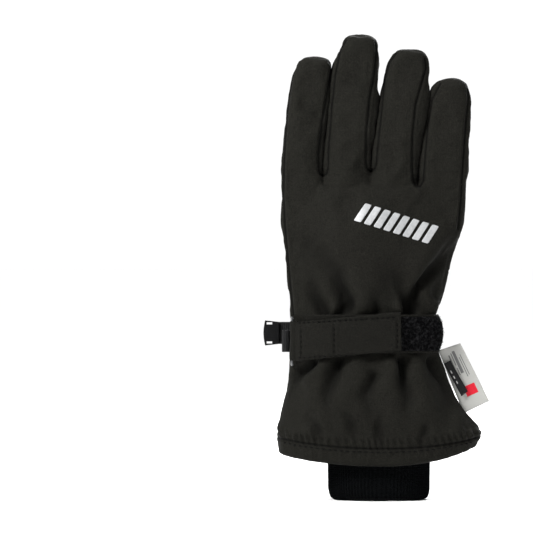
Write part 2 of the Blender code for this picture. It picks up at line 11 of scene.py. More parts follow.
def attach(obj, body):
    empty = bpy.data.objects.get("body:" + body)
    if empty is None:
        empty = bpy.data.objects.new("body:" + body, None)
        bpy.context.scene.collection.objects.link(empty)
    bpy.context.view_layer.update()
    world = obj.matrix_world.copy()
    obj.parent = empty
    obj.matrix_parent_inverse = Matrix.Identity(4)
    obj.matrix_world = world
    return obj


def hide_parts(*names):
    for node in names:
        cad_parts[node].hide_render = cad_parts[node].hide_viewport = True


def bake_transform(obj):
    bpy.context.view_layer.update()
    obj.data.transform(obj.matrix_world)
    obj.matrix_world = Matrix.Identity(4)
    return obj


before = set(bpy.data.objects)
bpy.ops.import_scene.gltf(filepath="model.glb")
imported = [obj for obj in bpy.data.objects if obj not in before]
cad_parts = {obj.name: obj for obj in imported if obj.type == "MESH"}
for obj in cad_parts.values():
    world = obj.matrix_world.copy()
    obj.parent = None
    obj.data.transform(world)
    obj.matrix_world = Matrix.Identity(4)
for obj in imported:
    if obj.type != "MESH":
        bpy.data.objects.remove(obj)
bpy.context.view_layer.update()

# ---- Shell cloth
# The shell is cut from one charcoal softshell: a tight plain weave of fine matt yarn with a little lighter
# heather in it, bonded to a thin fleece. It takes soft folds and shows no shine.
YARN = 0.00042


def softshell(name, tint=(0.0062, 0.0060, 0.0048), weave=1.0):
    cloth = bpy.data.materials.new(name)
    cloth.use_nodes = True
    nodes, links = cloth.node_tree.nodes, cloth.node_tree.links
    shader = nodes["Principled BSDF"]
    place = nodes.new("ShaderNodeTexCoord")
    threads = []
    for direction in ("X", "Z"):
        wave = nodes.new("ShaderNodeTexWave")
        wave.bands_direction = direction
        wave.inputs["Scale"].default_value = 0.314 / YARN / 2
        wave.inputs["Distortion"].default_value = 0.6
        wave.inputs["Detail"].default_value = 1.0
        wave.inputs["Detail Scale"].default_value = 3.0
        links.new(place.outputs["Object"], wave.inputs["Vector"])
        threads.append(wave)
    crossing = nodes.new("ShaderNodeMath")
    crossing.operation = "MULTIPLY"
    links.new(threads[0].outputs["Fac"], crossing.inputs[0])
    links.new(threads[1].outputs["Fac"], crossing.inputs[1])
    slub = nodes.new("ShaderNodeTexNoise")
    slub.inputs["Scale"].default_value = 1900
    slub.inputs["Detail"].default_value = 4
    links.new(place.outputs["Object"], slub.inputs["Vector"])
    patches = nodes.new("ShaderNodeTexNoise")
    patches.inputs["Scale"].default_value = 45
    patches.inputs["Detail"].default_value = 3
    links.new(place.outputs["Object"], patches.inputs["Vector"])
    heather = nodes.new("ShaderNodeValToRGB")
    heather.color_ramp.elements[0].position = 0.32
    heather.color_ramp.elements[0].color = (*(c * 0.45 for c in tint), 1)
    heather.color_ramp.elements[1].position = 0.72
    heather.color_ramp.elements[1].color = (*(c * 1.75 for c in tint), 1)
    links.new(slub.outputs["Fac"], heather.inputs["Fac"])
    fade = nodes.new("ShaderNodeMix")
    fade.data_type = "RGBA"
    fade.blend_type = "MULTIPLY"
    fade.inputs["Factor"].default_value = 0.10
    links.new(heather.outputs["Color"], fade.inputs["A"])
    links.new(patches.outputs["Fac"], fade.inputs["B"])
    # Painted shade along the seams: the colour is mixed towards near-black by the per-point seam attribute, in place of
    # the shade in the seam grooves.
    seam, shadow = nodes.new("ShaderNodeAttribute"), nodes.new("ShaderNodeMix")
    seam.attribute_name = "seam"
    shadow.data_type = "RGBA"
    shadow.inputs["B"].default_value = (*(c * 0.12 for c in tint), 1)
    links.new(seam.outputs["Fac"], shadow.inputs["Factor"])
    # Painted shade: the cloth colour is mixed towards near-black where the fold hollows are deep, from a per-point
    # attribute written when the pieces are cut.
    crease, fold_shade_mix = nodes.new("ShaderNodeAttribute"), nodes.new("ShaderNodeMix")
    crease.attribute_name = "painted_fold_shade"
    fold_shade_mix.data_type = "RGBA"
    fold_shade_mix.inputs["B"].default_value = (*(c * 0.15 for c in tint), 1)
    links.new(crease.outputs["Fac"], fold_shade_mix.inputs["Factor"])
    links.new(fade.outputs["Result"], fold_shade_mix.inputs["A"])
    links.new(fold_shade_mix.outputs["Result"], shadow.inputs["A"])
    links.new(shadow.outputs["Result"], shader.inputs["Base Color"])
    relief = nodes.new("ShaderNodeMath")
    relief.operation = "ADD"
    links.new(crossing.outputs["Value"], relief.inputs[0])
    links.new(slub.outputs["Fac"], relief.inputs[1])
    bump = nodes.new("ShaderNodeBump")
    bump.inputs["Strength"].default_value = 0.45 * weave
    bump.inputs["Distance"].default_value = 0.00016
    links.new(relief.outputs["Value"], bump.inputs["Height"])
    links.new(bump.outputs["Normal"], shader.inputs["Normal"])
    shader.inputs["Roughness"].default_value = 0.82
    shader.inputs["Specular IOR Level"].default_value = 0.045
    shader.inputs["Sheen Weight"].default_value = 0.006
    shader.inputs["Sheen Roughness"].default_value = 0.5
    return cloth


shell_cloth = softshell("softshell_cloth")

# ---- Glove body
# Hand, four fingers and gauntlet are one bag of cloth once they are sewn, so they are shaped together:
# lofted, skinned, blown up as cloth between the sewn lines, creased, and then parted along the seams.
MM = 0.001
MIDDLE_Y = -9.2

# The hand and gauntlet where their outline turns: height, centre x, half width, half depth, in mm
HAND_SECTIONS = (
    (19, -0.5, 53.5, 23.5),   # fold of the hem
    (34, 0.5, 56, 24),        # widest, just over the hem band
    (50, -3.5, 50.5, 22.5),
    (70, -5.5, 43, 19),
    (88, -8.5, 39, 16.5),     # under the strap
    (99, -9, 38.5, 17),       # narrowest, over the strap
    (108, -6.5, 41.5, 17.5),
    (120, -6, 44, 17.5),
    (135, -4.5, 46.5, 17),
    (158, -3, 50, 15),        # knuckles
    (165, -2.5, 49.5, 13),
    (169.5, -2.5, 47.5, 10.5),  # web between the fingers
)
# height, left edge, right edge, in mm, from inside the hand to where the tip starts to round
FINGER_EDGES = {
    "index": ((150, -51, -29), (165, -52.5, -28.0), (174, -52.7, -29.3), (179, -52.5, -32.2), (190, -51.9, -31.6),
              (206, -50.1, -29.1), (220, -48.6, -27.2), (228.5, -47.0, -26.0), (234, -44.6, -25.2)),
    "middle": ((150, -30, -4), (170, -31.0, -3.0), (176, -29.6, -4.2), (181, -27.8, -5.8), (192, -27.6, -4.9),
               (206, -26.1, -2.3), (220, -24.6, -0.5), (234, -23.5, 0.8), (242, -22.4, 0.8), (246.5, -19.9, -0.2)),
    "ring": ((150, -4, 22), (164, -5.0, 22.5), (172, -4.6, 20.4), (180, -2.4, 19.9), (192, -2.0, 21.6),
             (206, 0.3, 25.0), (219, 1.8, 27.4), (231, 3.4, 28.5), (237, 5.2, 27.9), (240, 7.2, 26.4)),
    "little": ((142, 22, 45), (158, 20.0, 47.6), (166, 20.6, 48.3), (172, 22.6, 48.6), (184, 23.8, 49.3),
               (198, 26.0, 50.2), (207, 26.9, 50.5), (215, 27.4, 50.4), (220.5, 28.6, 49.4)),
}
FINGER_TIPS = {"index": (239.9, -34.5), "middle": (252.0, -9.5), "ring": (243.9, 16.5), "little": (228.3, 41.0)}


def hand_outline(height):
    """Centre, half width and half depth of the hand, on a smooth curve through its sections."""
    heights, *measures = np.array(HAND_SECTIONS, float).T
    low = int(np.clip(np.searchsorted(heights, height) - 1, 0, len(heights) - 2))
    gap = heights[low + 1] - heights[low]
    up = (height - heights[low]) / gap
    down = 1 - up
    found = []
    for measure in measures:
        slope = np.gradient(measure, heights) * gap
        found.append((1 + 2 * up) * down ** 2 * measure[low] + up * down ** 2 * slope[low]
                     + up ** 2 * (1 + 2 * down) * measure[low + 1] - up ** 2 * down * slope[low + 1])
    return found


def finger_depth(height, tip):
    """Half the depth of a finger, which gets thinner towards its tip."""
    return float(np.interp(height, (tip - 62, tip - 30, tip), (11.0, 10.7, 9.2)))


def fold_rise(across):
    """How far the hem's fold turns up at a distance across the glove, most at the little finger's end."""
    return np.where(across < 0, 5.4 * (across / 53) ** 2, 10.8 * np.abs(across / 55) ** 2.3)


def seam_rise(across):
    """How far the hem's seam turns up."""
    return np.where(across < 0, 4.9 * (across / 53) ** 2, 6.0 * np.abs(across / 55) ** 2.3)


HEM_SEAM_HEIGHT = 28.6

# Seam courses on the back of the hand, x and height in mm
BACK_SEAMS = {
    "index_to_middle": ((-26.6, 236.5), (-25.1, 234.9), (-27.6, 220.9), (-30.3, 204.7), (-32.4, 187.4), (-32.2, 177.6),
                        (-31.2, 175.6), (-29.6, 175.1), (-28.0, 176.2), (-27.3, 179), (-27.1, 187.4), (-25.1, 213.3),
                        (-23.3, 229.5), (-20.6, 243.0), (-17.5, 248.2)),
    "middle_to_ring": ((-1.6, 247.6), (-1.0, 243), (-2.4, 229.5), (-5.0, 215.5), (-6.6, 198.2), (-6.8, 182.0),
                       (-6.0, 178.8), (-4.2, 177.8), (-2.3, 178.4), (-1.3, 180.6), (-0.3, 191.7), (1.5, 207.9),
                       (3.4, 227.3), (6.0, 236.5), (9.6, 241.2)),
    "ring_to_little": ((24.8, 238.5), (25.6, 233.5), (23.3, 225.2), (19.9, 213.3), (18.2, 196.0), (18.1, 179.0),
                       (18.8, 172.0), (20.3, 169.2), (22.4, 169.2), (24.2, 172.3), (25.3, 187.4), (26.6, 202.5),
                       (29.0, 216.5), (33.4, 224.8)),
    "little_side": ((48.0, 223.5), (48.6, 217), (47.2, 204.7), (46.0, 189.5), (45.0, 174.4), (44.2, 160.5),
                    (42.8, 146.5)),
    "index_side": ((-44.0, 236.0), (-46.4, 229.5), (-48.6, 216), (-50.0, 199.8), (-50.9, 183.6), (-51.3, 165),
                   (-50.6, 150), (-48.9, 130), (-47.2, 112), (-46.0, 100)),
}
# Seam courses on the palm: round each finger's front, x and height in mm
PALM_SEAMS = {
    "cuff_centre": ((-4.4, 84), (-3.2, 60), (-2.8, 30)), "index_dart": ((-37.8, 234), (-37.2, 240)),
    "middle_dart": ((-10.6, 246.8), (-10.2, 252)), "ring_dart": ((17.5, 239.2), (18, 244)),
    "little_dart": ((40.5, 223.6), (41, 228.3)),
    "index_front": ((-50.0, 150), (-50.0, 172), (-49.4, 190), (-47.8, 206), (-46.0, 222), (-44.2, 229.5),
                    (-40.8, 233.2), (-35.4, 234.0), (-31.2, 232.0), (-29.0, 227), (-30.6, 208), (-33.2, 190), (-33.0, 180), (-31, 175)),
    "middle_front": ((-31, 175), (-27.2, 180), (-26.0, 192), (-24.4, 208), (-23.0, 222), (-22.0, 236), (-20.0, 242.5),
                     (-14.0, 246.6), (-7.0, 246.2), (-2.4, 241.6), (-1.4, 234), (-3.2, 218), (-5.6, 204), (-7.6, 190),
                     (-7.2, 181), (-4.4, 178)),
    "ring_front": ((-4.4, 178), (-1.4, 182), (-0.4, 194), (1.8, 208), (3.4, 222), (5.2, 231), (8.6, 236.4), (15, 239.0),
                   (21, 237.8), (25.2, 233), (25.0, 222), (22.6, 206), (20.0, 192), (18.4, 180), (20.6, 171)),
    "little_front": ((20.6, 171), (24.0, 178), (25.4, 190), (27.2, 202), (29.2, 212), (31.6, 218.5), (36, 222.6),
                     (41.6, 223.6), (46.0, 220.4), (47.6, 213), (47.0, 200), (45.8, 186), (45.4, 170), (44.6, 155),
                     (42.0, 136), (38.0, 118), (34.0, 103)),
}


def section(centre, height, half_width, half_depth, sides=40, squareness=2.45):
    """A ring of points round the glove, in metres."""
    ring = []
    for i in range(sides):
        c, s = math.cos(math.tau * i / sides), math.sin(math.tau * i / sides)
        across = math.copysign(abs(c) ** (2 / squareness), c)
        through = math.copysign(abs(s) ** (2 / squareness), s)
        ring.append((MM * (centre + half_width * across), MM * (MIDDLE_Y + half_depth * through), MM * height))
    return ring


def loft(name, rings):
    """A closed solid through the rings."""
    count = len(rings[0])
    build = bmesh.new()
    levels = [[build.verts.new(point) for point in ring] for ring in rings]
    for low, high in zip(levels, levels[1:]):
        for i in range(count):
            build.faces.new((low[i], low[(i + 1) % count], high[(i + 1) % count], high[i]))
    build.faces.new(levels[0])
    build.faces.new(levels[-1])
    bmesh.ops.recalc_face_normals(build, faces=build.faces)
    mesh = bpy.data.meshes.new(name)
    build.to_mesh(mesh)
    build.free()
    solid = bpy.data.objects.new(name, mesh)
    bpy.context.collection.objects.link(solid)
    return solid


def only(*chosen):
    """Selects these objects and nothing else."""
    bpy.ops.object.select_all(action="DESELECT")
    for piece in chosen:
        piece.select_set(True)
    bpy.context.view_layer.objects.active = chosen[0]


def skin(solids, voxel):
    """Joins overlapping solids and covers them with one even skin."""
    only(*solids)
    bpy.ops.object.join()
    skinned = solids[0]
    remesh = skinned.modifiers.new("skin", "REMESH")
    remesh.mode = "VOXEL"
    remesh.voxel_size = voxel
    bpy.ops.object.modifier_apply(modifier="skin")
    return skinned


def corners(piece):
    flat = np.empty(len(piece.data.vertices) * 3)
    piece.data.vertices.foreach_get("co", flat)
    return flat.reshape(-1, 3)


def place(piece, points):
    piece.data.vertices.foreach_set("co", points.astype(np.float32).ravel())
    piece.data.update()


def outward(piece):
    flat = np.empty(len(piece.data.vertices) * 3)
    piece.data.vertices.foreach_get("normal", flat)
    return flat.reshape(-1, 3)


def off_course(across, height, course):
    """Distance from each point to a course of short straight lines."""
    nearest = np.full(len(across), 1e9)
    for (x0, z0), (x1, z1) in zip(course, course[1:]):
        dx, dz = x1 - x0, z1 - z0
        share = np.clip(((across - x0) * dx + (height - z0) * dz) / (dx * dx + dz * dz), 0, 1)
        nearest = np.minimum(nearest, np.hypot(across - x0 - share * dx, height - z0 - share * dz))
    return nearest


def seam_distance(points, seams):
    x, z = points[:, 0] / MM, points[:, 2] / MM
    return np.min([off_course(x, z, course) for course in seams.values()], axis=0)


def blow_up(piece, held, pressure, mass, slack, cap, steps):
    """Fills a skin with air as cloth that is held at some points, and keeps what it does within the cap."""
    before = corners(piece)
    group = piece.vertex_groups.new(name="sewn")
    group.add([int(i) for i in np.nonzero(held)[0]], 1.0, "REPLACE")
    cloth = piece.modifiers.new("air", "CLOTH")
    cloth.settings.quality = 4
    cloth.settings.mass = mass
    cloth.settings.use_pressure = True
    cloth.settings.uniform_pressure_force = pressure
    cloth.settings.shrink_min = -slack
    cloth.settings.bending_stiffness = 0.5
    cloth.settings.effector_weights.gravity = 0
    cloth.settings.vertex_group_mass = "sewn"
    cloth.collision_settings.use_collision = False
    cloth.point_cache.frame_start, cloth.point_cache.frame_end = 1, steps
    for step in range(1, steps + 1):
        bpy.context.scene.frame_set(step)
    only(piece)
    bpy.ops.object.modifier_apply(modifier="air")
    after = corners(piece)
    move = after - before
    far = np.linalg.norm(move, axis=1, keepdims=True)
    place(piece, before + move * np.minimum(1, cap / np.maximum(far, 1e-9)))
    piece.vertex_groups.clear()


def relax(piece, share, rounds):
    only(piece)
    smooth = piece.modifiers.new("relax", "SMOOTH")
    smooth.factor = share
    smooth.iterations = rounds
    bpy.ops.object.modifier_apply(modifier="relax")


# While they are made, the fingers are spread, so that the skin doesn't web them together
SPREAD = {"index": (-0.24, 176), "middle": (-0.05, 178), "ring": (0.06, 178), "little": (0.26, 170)}
# Where neighbouring fingers touch, from the crotch upwards
CREVICES = {
    ("index", "middle"): ((-30.3, 176.0), (-29.9, 183.6), (-27.5, 206.3), (-25.5, 231.5), (-25.0, 250)),
    ("middle", "ring"): ((-4.2, 178.5), (-3.6, 189), (-0.9, 206.3), (0.9, 217.0), (2.0, 236), (3.0, 255)),
    ("ring", "little"): ((20.9, 170.0), (21.9, 183.6), (25.8, 206.3), (27.9, 218.7), (29.5, 240)),
}


def spread(finger, z):
    slope, start = SPREAD[finger]
    rise = np.maximum(np.asarray(z, float) - start, 0)
    return slope * np.where(rise < 8, rise * rise / 16, rise - 4)


def crevice(pair, z, opened=False):
    course = CREVICES[pair]
    x = np.interp(z, [p[1] for p in course], [p[0] for p in course])
    return x + (spread(pair[0], z) + spread(pair[1], z)) / 2 if opened else x


rings = []
for height in np.linspace(HAND_SECTIONS[0][0], HAND_SECTIONS[-1][0], 56):
    centre, wide, deep = hand_outline(height)
    rings.append(section(centre, height, wide, deep, 112))
solids = [loft("hand_form", rings)]
for finger, edges in FINGER_EDGES.items():
    rings = []
    for z, a, b in edges:
        shift = float(spread(finger, z))
        rings.append(section((a + b) / 2 + shift, z, (b - a) / 2, finger_depth(z, edges[-1][0]), 80))
    (z, a, b), (top, tip_x) = edges[-1], FINGER_TIPS[finger]
    for turn in (0.4, 0.75, 1.05, 1.3, 1.48):
        shrink = math.cos(turn) ** 0.85
        height = z + (top - z) * math.sin(turn)
        centre = (a + b) / 2 + (tip_x - (a + b) / 2) * (1 - shrink) + float(spread(finger, height))
        rings.append(section(centre, height, (b - a) / 2 * shrink, finger_depth(z, z) * math.cos(turn), 80))
    solids.append(loft(f"{finger}_form", rings))
body = skin(solids, 0.00125)
relax(body, 0.5, 2)

x, y, z = corners(body).T / MM
finger_of = np.zeros(len(x), int)
for pair in CREVICES:
    finger_of += x > crevice(pair, z, opened=True)
NAMES = list(FINGER_EDGES)
shift = np.choose(finger_of, [spread(finger, z) for finger in NAMES])
closed = np.column_stack([x - shift, y, z]) * MM
behind, before = y < MIDDLE_Y - 2.5, y > MIDDLE_Y + 2.5
sewn = (seam_distance(closed, BACK_SEAMS) < 0.75) & behind
sewn |= (seam_distance(closed, PALM_SEAMS) < 0.75) & before
sewn |= (z < 31) | ((z > 80) & (z < 97))
blow_up(body, sewn, 1.2, 0.01, 0.02, 1.8 * MM, 8)
relax(body, 0.5, 4)

x, y, z = corners(body).T / MM
x = x - np.choose(finger_of, [spread(finger, z) for finger in NAMES])
# Neighbouring fingers press against each other up to these heights
MEETING = {("index", "middle"): 231, ("middle", "ring"): 215, ("ring", "little"): 218}
for number, pair in enumerate(CREVICES):
    crotch = CREVICES[pair][0][1]
    for who, side in ((number, 1), (number + 1, -1)):
        mine = (finger_of == who) & (z > crotch - 2)
        row = np.round(z[mine] / 1.5).astype(int)
        reach = np.full(row.max() + 2, -1e9)
        np.maximum.at(reach, row, side * x[mine])
        known = np.nonzero(reach > -1e8)[0]
        reach = np.interp(z[mine], known * 1.5, reach[known])
        heights = [e[0] for e in FINGER_EDGES[NAMES[who]]]
        middle = np.interp(z[mine], heights, [(e[1] + e[2]) / 2 for e in FINGER_EDGES[NAMES[who]]])
        room = -1.0
        need = side * crevice(pair, z[mine]) - room - reach
        press = np.interp(z[mine], (crotch - 2, crotch, MEETING[pair], MEETING[pair] + 9), (0, 1, 1, 0))
        need = np.maximum(need, 0) * press
        share = np.clip(side * (x[mine] - middle) / np.maximum(reach - side * middle, 1), 0, 1) ** 1.6
        x[mine] = x[mine] + side * need * share
        x[mine] = side * np.minimum(side * x[mine], side * crevice(pair, z[mine]) - 0.02)

# The hem hangs lowest in the middle, and its little-finger end turns up most
low_share = np.interp(z, (19, HEM_SEAM_HEIGHT, 50), (1, 0, 0))
seam_share = np.interp(z, (19, HEM_SEAM_HEIGHT, 50), (1, 1, 0))
z = z + low_share * (fold_rise(x) - seam_rise(x)) + seam_share * seam_rise(x)
place(body, np.column_stack([x, y, z]) * MM)
body.data.attributes.new("finger", "FLOAT", "POINT").data.foreach_set("value", finger_of.astype(np.float32))

# Folds of the back and of the palm: course, depth (negative) or height, and half width, in mm
BACK_FOLDS = (
    (((42.5, 145), (36.5, 136), (30.4, 127), (21.6, 113.2), (17.4, 101.8)), -3.2, 2.0),
    (((38, 149), (27, 132), (16.3, 115), (12.5, 104)), 1.3, 4.0),
    (((37.6, 128), (32, 111)), -0.7, 2.6), (((33.5, 114), (27, 101)), 1.4, 2.6),
    (((-43.9, 141.0), (-33.5, 136.0), (-24, 122), (-19, 103)), -1.0, 4.6), (((-42, 139), (-33, 137)), -0.5, 4.5),
    (((-28.3, 131.9), (-24.1, 119.4), (-17.9, 103)), -1.6, 2.8),
    (((-33.5, 129), (-30, 118), (-24, 104)), 1.0, 2.6),
    (((-39.7, 127.7), (-36.5, 115.3), (-29.5, 101)), -1.4, 2.6),
    (((11.6, 144), (4.5, 134), (8, 120), (14, 103)), -1.2, 5.0), (((13.8, 124), (15.4, 101)), -1.5, 2.0),
    (((8, 124), (9.5, 103)), 1.0, 2.6), (((-12.7, 126), (-10.0, 104)), 1.1, 4.6), (((-4, 118), (-1, 102)), -0.9, 2.6),
    (((-20, 158), (-34, 150)), 0.8, 8.0), (((0, 140), (-16, 150)), 0.8, 8.0),
    (((-36.0, 75), (-42, 67), (-49.0, 55)), -1.9, 2.2), (((-31, 75), (-38, 60), (-41, 46)), 1.2, 3.6),
    (((-22.1, 76), (-27.5, 60), (-26.2, 42.6)), -1.7, 2.4), (((-12, 76), (-16, 58), (-18, 42)), 1.0, 4.2),
    (((12.0, 76), (13.0, 60), (17.0, 43)), -2.3, 1.9), (((6.0, 75), (5.0, 60), (7.0, 46)), 1.3, 3.4),
    (((20.0, 75), (24.0, 58), (28, 44)), 1.3, 3.2), (((29.5, 76), (37.0, 58), (41, 44)), -1.3, 2.4),
    (((-4.4, 68), (-6.4, 56), (-0.2, 37)), -1.1, 2.4), (((-18.9, 49), (-12.7, 33)), -1.0, 1.8),
    (((26.8, 42), (22.6, 31)), -0.9, 1.6), (((1.8, 47), (-1.2, 31)), -0.8, 1.6), (((-38, 45), (-33, 34)), -0.9, 1.8),
    (((40, 50), (44, 36)), 0.8, 2.0),
    (((-39.5, 212), (-33.5, 209)), -0.35, 2.0), (((-18, 226), (-8, 224)), -0.3, 2.4),
)
PALM_FOLDS = (
    (((-47, 182), (-35, 179)), -1.0, 1.9), (((-46, 190), (-34, 192)), -0.8, 2.0), (((-45, 203), (-33, 201)), -0.5, 2.4),
    (((-23, 221), (-3, 219)), -0.9, 2.0), (((-24, 207), (-6, 209)), -1.0, 1.9), (((-24, 196), (-8, 194)), -0.8, 2.2),
    (((-20, 236), (-6, 233)), -0.7, 1.8), (((6, 228), (22, 229)), -0.9, 1.7), (((5, 214), (21, 213)), -1.0, 2.0),
    (((2, 199), (19, 200)), -0.9, 2.1), (((28, 205), (45, 204)), -0.8, 1.9), (((26, 191), (44, 189)), -1.0, 2.0),
    (((-44, 78.5), (-52.3, 59.8)), -1.5, 2.4), (((-29.5, 78), (-33.6, 51.5)), -1.6, 2.4),
    (((-17, 78), (-15, 56)), -1.2, 2.0),
    (((7.9, 78), (12.1, 51.5)), -1.7, 2.4), (((26.6, 78), (39, 51.5)), -1.7, 2.6), (((17, 78), (22, 50)), 1.2, 3.0),
    (((10, 108), (15, 101)), -1.2, 2.0), (((22, 112), (27, 100)), -1.3, 2.2),
    (((0, 47), (6, 34)), -0.9, 2.0), (((-24, 46), (-20, 34)), -0.9, 2.0), (((28, 46), (24, 34)), -0.9, 2.0),
)


def fold(points, normals, side, folds):
    """Raises and sinks a side of the glove along its folds, which die out away from the wrist."""
    across, height = points[:, 0] / MM, points[:, 2] / MM
    wander = 1.1 * np.sin(height / 6.1 + across / 17) + 0.7 * np.sin(height / 3.3 - across / 9 + 2)
    across, height = across + wander, height + 0.9 * np.sin(across / 5.3 + 1)
    facing = np.clip(side * normals[:, 1] * 1.6, 0, 1)
    lift = np.zeros(len(points))
    for course, depth, width in folds:
        (x0, z0), (x1, z1) = course[0], course[-1]
        along = (across - x0) * (x1 - x0) + (height - z0) * (z1 - z0)
        share = np.clip(along / ((x1 - x0) ** 2 + (z1 - z0) ** 2), 0, 1)
        if abs(z0 - 89) < abs(z1 - 89):
            share = 1 - share
        if z0 > 170:
            strength, spread_out = 1, 1.6 * width
        elif min(abs(z0 - 89), abs(z1 - 89)) > 24:
            strength, spread_out = np.sin(math.pi * (0.1 + 0.8 * share)), 1.5 * width
        else:
            strength, spread_out = 1.3 * share ** 1.35 + 0.1, width * (2.0 - 1.0 * share)
        near = np.exp(-((off_course(across, height, course) / spread_out) ** 2))
        lift += (3.0 if depth < 0 else 2.3) * depth * strength * near
    lift = np.where(lift < 0, -6.0 * np.tanh(-lift / 6.0), 3.0 * np.tanh(lift / 3.0)) * facing
    points += normals * (lift * MM)[:, None]
    return lift


def gathered(points, normals):
    """The elastic gathers the palm side of the wrist into slanting pleats, and the hem puckers along its stitching."""
    across, height = points[:, 0] / MM, points[:, 2] / MM
    facing = np.clip(normals[:, 1] * 2, 0, 1)
    zone = np.exp(-(((height - 89.5) / 9.5) ** 4))
    slant = np.sin((across + 0.42 * (height - 89)) / 5.2 * math.tau + 1.3 * np.sin(across / 9))
    weave = np.sin((across - 0.95 * (height - 89)) / 5.2 * math.tau)
    lift = zone * (1.45 * slant + 0.85 * weave - 0.4)
    for row in (84.5, 89.5, 94.5):
        lift -= 0.4 * np.exp(-(((height - row) / 0.9) ** 2))
    flare = np.exp(-(((height - 74) / 9) ** 2)) + np.exp(-(((height - 105) / 6) ** 2))
    lift += 0.45 * flare * np.sin(across / 4.7 * math.tau / 1.5 + 0.8)
    points += normals * (lift * facing * MM)[:, None]
    above = height - HEM_SEAM_HEIGHT - seam_rise(across)
    pucker = np.sin(across / 3.9 * math.tau + 2.2 * np.sin(across / 6.5) + above * 0.5)
    pucker *= np.exp(-(((above - 2.6) / 2.4) ** 2))
    band = np.exp(-(((above + 4.5) / 3.6) ** 2)) * np.sin(across / 5.2 * math.tau + 1.2)
    points += normals * ((0.75 * pucker + 0.16 * band) * MM)[:, None]


points, normals = corners(body), outward(body)
folded = fold(points, normals, -1, BACK_FOLDS) + fold(points, normals, 1, PALM_FOLDS)
body.data.attributes.new("folded", "FLOAT", "POINT").data.foreach_set("value", folded.astype(np.float32))
place(body, points)
relax(body, 0.4, 1)
only(body)
finer = body.modifiers.new("finer", "SUBSURF")
finer.levels = finer.render_levels = 1
bpy.ops.object.modifier_apply(modifier="finer")
points, normals = corners(body), outward(body)
gathered(points, normals)
place(body, points)


def rumple(points, normals, size, height, seed):
    """Small slow unevenness of padded cloth."""
    lift = np.zeros(len(points))
    dice = np.random.default_rng(seed)
    for _ in range(14):
        wave = dice.normal(size=3)
        wave /= np.linalg.norm(wave)
        lift += np.sin(points @ wave / (size * dice.uniform(0.6, 1.6)) * math.tau + dice.uniform(0, math.tau))
    points += normals * (lift * height / 14)[:, None]


def seam_groove(points, normals, side, seams, depth, width, edge=0.0):
    """Pulls a narrow groove along sewn lines; the cloth beside them rolls up by the edge height."""
    facing = np.clip(side * (points[:, 1] / MM - MIDDLE_Y) / 2.0, 0, 1)
    off = seam_distance(points, seams)
    lift = -depth * np.exp(-((off / width) ** 2)) + edge * np.exp(-(((off - 2.4 * width) / (1.3 * width)) ** 2))
    points += normals * (lift * facing * MM)[:, None]


PATCH_EDGE = {
    "patch_top": ((-50, 175.5), (-30, 174.0), (-0.4, 172.4), (18.3, 169.5), (45.4, 165.0)),
    "patch_low": ((-48, 112), (-20, 112), (-4.6, 115.9), (5.8, 120.5), (18.3, 123.2), (41, 123.8)),
}
HEM_SEAM = {"hem": tuple((x, HEM_SEAM_HEIGHT + float(seam_rise(x))) for x in range(-56, 57, 4))}
points, normals = corners(body), outward(body)
rumple(points, normals, 0.013, 0.00042, 3)
rumple(points, normals, 0.005, 0.00012, 5)
seam_groove(points, normals, -1, BACK_SEAMS, 0.75, 0.62, 0.18)
seam_groove(points, normals, 1, PALM_SEAMS, 0.8, 0.62, 0.2)
seam_groove(points, normals, 1, PATCH_EDGE, 0.5, 0.55, 0.1)
for side in (-1, 1):
    seam_groove(points, normals, side, HEM_SEAM, 0.55, 0.6, 0.2)
side_seam = np.exp(-(((points[:, 1] / MM - MIDDLE_Y) / 0.6) ** 2)) * np.clip((0.168 - points[:, 2]) / 0.012, 0, 1)
points -= normals * (0.55 * MM * side_seam)[:, None]
place(body, points)

# The bag is parted along its seams into the pieces it was sewn from
points, normals = corners(body), outward(body)
folded = np.empty(len(points), np.float32)
body.data.attributes["folded"].data.foreach_get("value", folded)
# Masks for painted shade: closeness to the side seam and to the sewn lines, which darkens the cloth colour along them.
side_seam = np.exp(-(((points[:, 1] / MM - MIDDLE_Y) / 0.5) ** 2)) * np.clip((0.168 - points[:, 2]) / 0.012, 0, 1)
sewn_line = np.exp(-((np.where(points[:, 1] / MM < MIDDLE_Y, seam_distance(points, BACK_SEAMS | HEM_SEAM),
                               seam_distance(points, PALM_SEAMS | PATCH_EDGE | HEM_SEAM)) / 0.5) ** 2))
polygons = np.empty(len(body.data.loops), int)
body.data.loops.foreach_get("vertex_index", polygons)
polygons = polygons.reshape(-1, 4)
centre = points[polygons].mean(axis=1)
facing = normals[polygons].mean(axis=1)
x, y, z = centre.T / MM
palm_side = y > MIDDLE_Y
hem_at = HEM_SEAM_HEIGHT + seam_rise(x)
patch_top = np.interp(x, [p[0] for p in PATCH_EDGE["patch_top"]], [p[1] for p in PATCH_EDGE["patch_top"]])
patch_low = np.interp(x, [p[0] for p in PATCH_EDGE["patch_low"]], [p[1] for p in PATCH_EDGE["patch_low"]])
patch_end = np.interp(z, (118, 136, 155, 170), (38.0, 42.0, 44.6, 45.4))
labels = np.where(palm_side, "hand_palm", "hand_back").astype("<U24")
labels[(z < 88.5) & ~palm_side] = "gauntlet_back"
labels[(z < 99.5) & palm_side] = "wrist_gathers"
labels[(z < 79.5) & palm_side] = "gauntlet_palm"
labels[z < hem_at] = "hem"
inside = (np.abs((x - HAND_SECTIONS[0][1]) / (HAND_SECTIONS[0][2] - 3.2)) ** 2.45
          + np.abs((y - MIDDLE_Y) / (HAND_SECTIONS[0][3] - 3.2)) ** 2.45) < 1
labels[(facing[:, 2] < -0.5) & (z < hem_at - 5) & inside] = "open"
labels[palm_side & (y > MIDDLE_Y + 6) & (z < patch_top) & (z > patch_low) & (x < patch_end) & (x > -50)] = "grip_patch"
FINGER_STARTS = {"index": 176.5, "middle": 179, "ring": 179, "little": 170.5}
